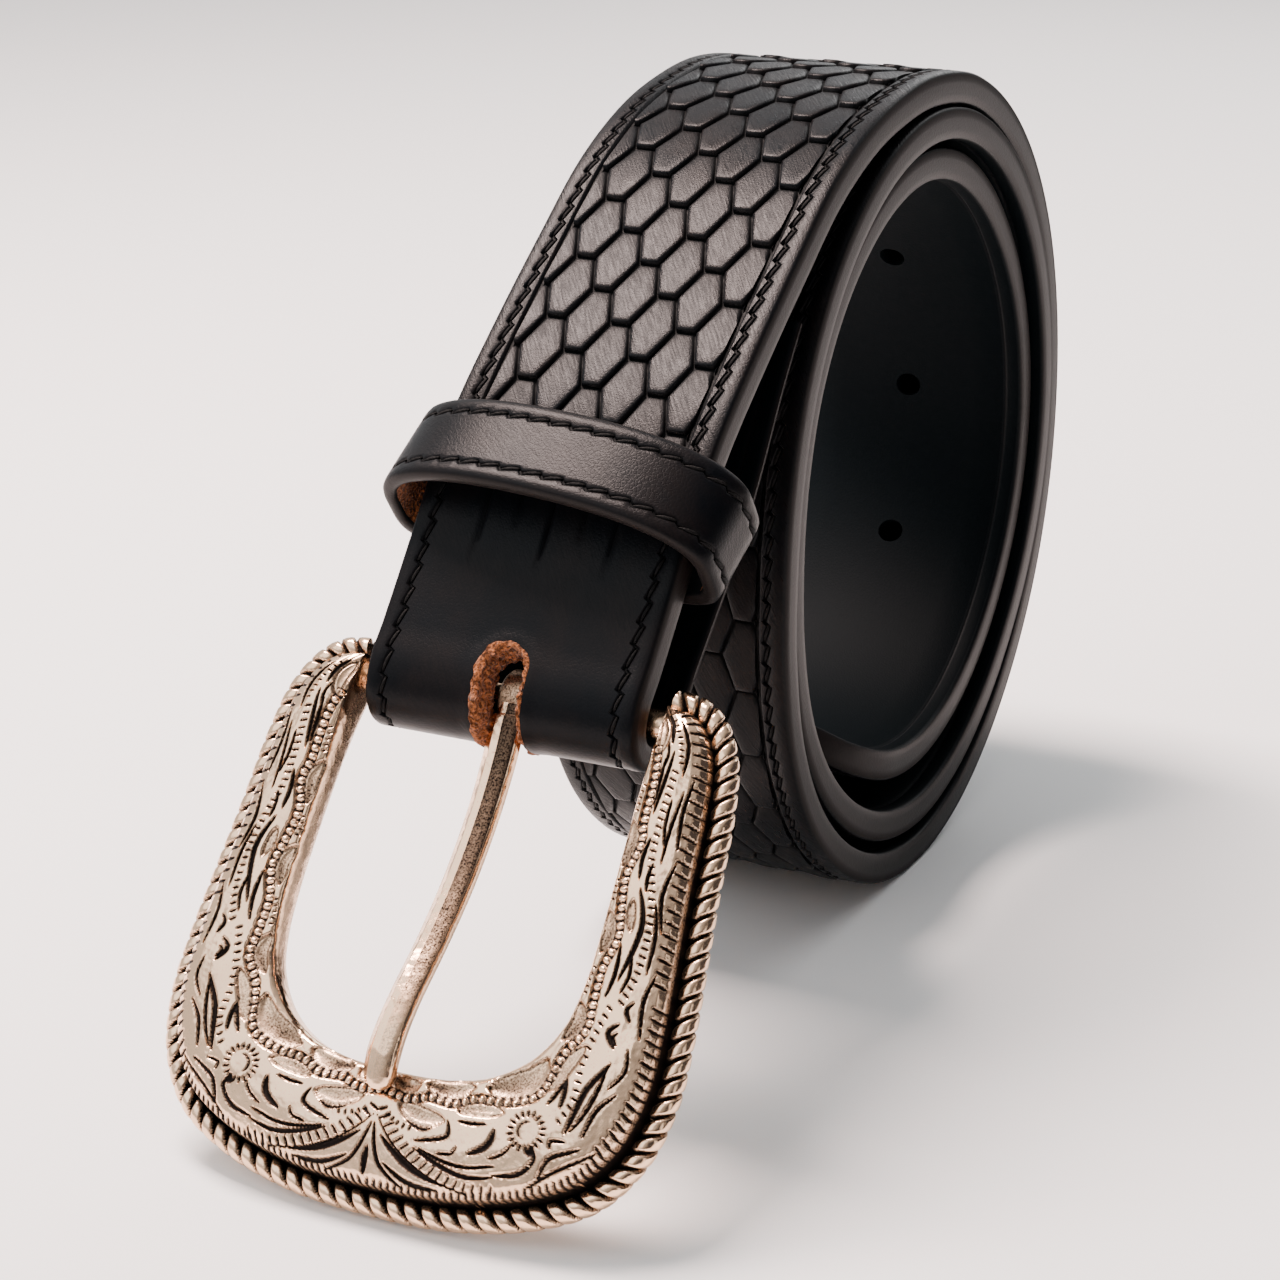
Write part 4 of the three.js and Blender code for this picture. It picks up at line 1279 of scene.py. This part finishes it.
def nickel_silver():
    """Warm white metal, blackened by a vertex attribute: oxide in its cuts, channel and hollows, and painted
    shade and painted dark reflection on the hollow floors, the prong and its eye; flecked with it elsewhere.
    """
    made, tree, shader = material("nickel_silver", (0.8, 0.62, 0.47), 0.16, Metallic=1.0)
    oxide_and_shade = read(tree, "tarnish_and_shade")
    place = where(tree)
    specks, cloud, dents = noise(tree, place, 4200, 5), noise(tree, place, 160), noise(tree, place, 420)
    thin = times(tree, oxide_and_shade, maths(tree, "SUBTRACT", 1.0, oxide_and_shade))
    worn = times(tree, thin, ramp(tree, specks, 0.4, 0.6, -0.9, 0.9))
    flecks = times(tree, ramp(tree, specks, 0.6, 0.75), 0.3)
    black = plus(tree, oxide_and_shade, plus(tree, worn, flecks), True)
    warm = mix(tree, ramp(tree, cloud, 0.35, 0.65), (0.95, 0.625, 0.4), (0.86, 0.565, 0.365))
    colour = mix(tree, black, warm, (0.012, 0.009, 0.008))
    rough = plus(tree, ramp(tree, cloud, 0.3, 0.7, 0.13, 0.22), times(tree, black, 0.4), True)
    relief = bump(tree, plus(tree, times(tree, specks, 0.03), dents), 0.45, 0.0005)
    dress(tree, shader, Base_Color=colour, Roughness=rough, Normal=relief)
    return made


LEATHER = black_leather("black_leather", 0.085, 0.75)
PLAIN_LEATHER = black_leather("black_leather_plain", 0.075, 0.3)
LINING = black_leather("black_leather_inside", 0.045)
SUEDE = raw_leather()
THREAD = black_thread()
SILVER = nickel_silver()


# The belt

def strap_piece(obj, leather, degrees=40):
    strap_marks(obj)
    bend_strap(obj)
    smooth(obj, degrees)
    ready(obj, "strap", [leather, LINING])
    inside = np.zeros(len(obj.data.vertices), np.float32)
    obj.data.attributes["inside"].data.foreach_get("value", inside)
    for polygon in obj.data.polygons:
        if all(inside[corner] > 0.5 for corner in polygon.vertices):
            polygon.material_index = 1
    return obj


def punch_holes(obj):
    cutters = []
    for k in range(HOLE_COUNT):
        at = STRAP_LENGTH - LAST_HOLE_TO_TIP - k * HOLE_PITCH
        cutters.append(fresh("punch", bpy.ops.mesh.primitive_cylinder_add, vertices=40, radius=HOLE_RADIUS,
                             depth=PUNCH_LENGTH, location=(at, -THICK / 2, 0), rotation=(math.pi / 2, 0, 0)))
    punches = join(cutters, "punches")
    apply(obj, "BOOLEAN", object=punches, operation="DIFFERENCE", solver="EXACT")
    bpy.data.objects.remove(punches)


def strap():
    """The plain run, the scaled band in a fine outer and a coarser inner length, and the scales on each."""
    run = strap_piece(plain_run(), PLAIN_LEATHER)
    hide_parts("strap")
    strap_piece(strap_bar("strap_outer", PATTERN_START, OUTER_END, OUTER_STEP), LEATHER)
    inner = strap_bar("strap_inner", OUTER_END, STRAP_LENGTH, INNER_STEP)
    punch_holes(inner)
    strap_piece(inner, LEATHER)
    strap_piece(scale_field("scales_outer", PATTERN_START, OUTER_END, True), LEATHER, 75)
    inner_scales = scale_field("scales_inner", OUTER_END, PATTERN_END, False)
    punch_holes(inner_scales)
    strap_piece(inner_scales, LEATHER, 75)


def suede():
    wall = bend_strap(slot_suede())
    smooth(wall, 80)
    ready(wall, "strap", [SUEDE])


def sewn(thread):
    smooth(thread, 80)
    ready(thread, "strap", [THREAD])


def seams():
    """A row of stitches along each edge of the strap, in three lengths."""
    stretches = {"run": (0.0, PATTERN_START), "outer": (PATTERN_START, OUTER_END),
                 "inner": (OUTER_END, STRAP_LENGTH - POINT_LENGTH)}
    for name, (start, end) in stretches.items():
        rows = [thread_row(f"thread_{name}", start, end, side * STITCH_LINE, STITCH_SUNK) for side in (1, -1)]
        thread = bend_strap(join(rows, f"thread_{name}"))
        edit(thread, bpy.ops.mesh.flip_normals)
        sewn(thread)


# The keeper's masks: depths below its face, and how far its raw leather reaches from each side
KEEPER_EDGE_WITHIN = 0.2
KEEPER_INSIDE_WITHIN = 0.1
KEEPER_CHANNEL_DEPTH = 0.5
KEEPER_GROOVE_FADE = 0.3
KEEPER_RAW = 3.2
KEEPER_STITCH_SUNK = -0.12


def keeper_masks(obj, flat):
    depth, side = -flat[:, 1], np.abs(flat[:, 2])
    attribute(obj, "edge", (side > KEEPER_HALF - KEEPER_EDGE_WITHIN).astype(float))
    attribute(obj, "inside", (depth > KEEPER_WALL - KEEPER_INSIDE_WITHIN).astype(float))
    channel = (depth < KEEPER_CHANNEL_DEPTH) * (side < 5)
    # Painted shade: the stitch channels are darkened through the groove mask.
    attribute(obj, "groove", np.clip(depth / KEEPER_GROOVE_FADE, 0, 1) * channel)


def keeper_loop():
    """The belt loop, with raw leather on its inner face where it turns down at each side."""
    loop = keeper_strip()
    flat = points_of(loop)
    keeper_masks(loop, flat)
    flat_uv(loop)
    set_points(loop, wrap_keeper(flat))
    at_side = np.abs(points_of(loop)[:, 0]) > KEEPER_HALF_SPAN - KEEPER_RAW
    ready(loop, "strap", [PLAIN_LEATHER, SUEDE], ["keeper"])
    for polygon in loop.data.polygons:
        corners = list(polygon.vertices)
        if at_side[corners].all() and (-flat[corners, 1] > KEEPER_WALL - KEEPER_INSIDE_WITHIN).all():
            polygon.material_index = 1
    to_part(loop, KEEPER_TURN)
    edit(loop, outward)
    smooth(loop, 45)


def keeper_thread():
    end = KEEPER_RUN[-1] - STITCH_PITCH
    rows = [thread_row("keeper_thread", 0, end, side * KEEPER_STITCH_LINE, KEEPER_STITCH_SUNK)
            for side in (1, -1)]
    thread = join(rows, "keeper_thread")
    set_points(thread, wrap_keeper(points_of(thread)))
    sewn(to_part(thread, KEEPER_TURN))


def metal(obj, body, degrees, nodes=()):
    smooth(obj, degrees)
    ready(obj, body, [SILVER], nodes)


strap()
suede()
seams()
keeper_loop()
keeper_thread()
metal(frame_face(), "buckle_frame", 50, ["buckle_frame"])
metal(rope_edge(), "buckle_frame", 60)
metal(heel_bar(), "buckle_frame", 40)
metal(prong(), "prong", 28, ["prong"])
bpy.data.objects.remove(STRAP_GUIDE)


# Stage, lights and camera
BELT_MIDDLE = Vector((0, 0, 0.06))
FLOOR_GAP = -0.0003
# Soft lights: the way to each from the belt, distance, size, how bright it looks from there, and colour
CARDS = {
    "overhead": ((-0.4, 0.07, 0.92), 0.75, (0.26, 0.42), 66, (1, 0.8, 0.74)),
    "front": ((-0.42, -0.62, 0.66), 0.8, (0.8, 0.5), 1.5, (0.94, 0.97, 1)),
    "right": ((1.0, -0.62, 0.3), 0.8, (0.22, 0.5), 1.3, (1, 0.97, 0.94)),
    "behind": ((0.1, 0.9, 0.45), 0.9, (0.8, 0.4), 3.0, (1, 1, 1)),
}


def stage():
    floor = fresh("floor", bpy.ops.mesh.primitive_plane_add, size=6, location=(0, 0, FLOOR_GAP))
    floor.data.materials.append(material("pale_floor", (0.9, 0.9, 0.9), 0.8)[0])


def soft_light(name, place, size, power, colour):
    data = bpy.data.lights.new(name, "AREA")
    data.shape = "RECTANGLE"
    data.size, data.size_y = size
    data.energy = power
    data.color = colour
    obj = put(name, data)
    obj.location = place
    obj.rotation_mode = "QUATERNION"
    obj.rotation_quaternion = (place - BELT_MIDDLE).to_track_quat("Z", "Y")


def studio():
    world = bpy.data.worlds.new("studio")
    bpy.context.scene.world = world
    world.use_nodes = True
    tree = world.node_tree
    background = tree.nodes["Background"]
    x, z = (node(tree, "SeparateXYZ", {0: where(tree, "Generated")}, axis) for axis in "XZ")
    share = ramp(tree, plus(tree, times(tree, x, -0.75), times(tree, z, 0.5)), -0.2, 0.5)
    sky = mix(tree, share, (0.07, 0.072, 0.085), (0.98, 0.99, 1.0))
    dress(tree, background, Strength=1.0, Color=sky)
    for name, (towards, distance, size, brightness, colour) in CARDS.items():
        place = BELT_MIDDLE + Vector(towards).normalized() * distance
        soft_light(name, place, size, brightness * math.pi * size[0] * size[1], colour)


# The photo's view: bearing round from the front, how far it looks down, and the lean of the picture
CAMERA_PLACE = (0.1821, -0.3801, 0.197)
CAMERA_BEARING = math.radians(26.67)
CAMERA_HEIGHT = math.radians(19.94)
CAMERA_LEAN = math.radians(-0.4)
CAMERA_LENS = 90.3


def camera():
    data = bpy.data.cameras.new("camera")
    data.sensor_width = 36
    data.lens = CAMERA_LENS
    data.clip_start = 0.01
    obj = put("camera", data)
    level = Matrix.Rotation(CAMERA_BEARING, 4, "Z") @ Matrix.Rotation(math.pi / 2 - CAMERA_HEIGHT, 4, "X")
    turn = level @ Matrix.Rotation(CAMERA_LEAN, 4, "Z")
    obj.matrix_world = Matrix.Translation(CAMERA_PLACE) @ turn
    bpy.context.scene.camera = obj


stage()
studio()
camera()
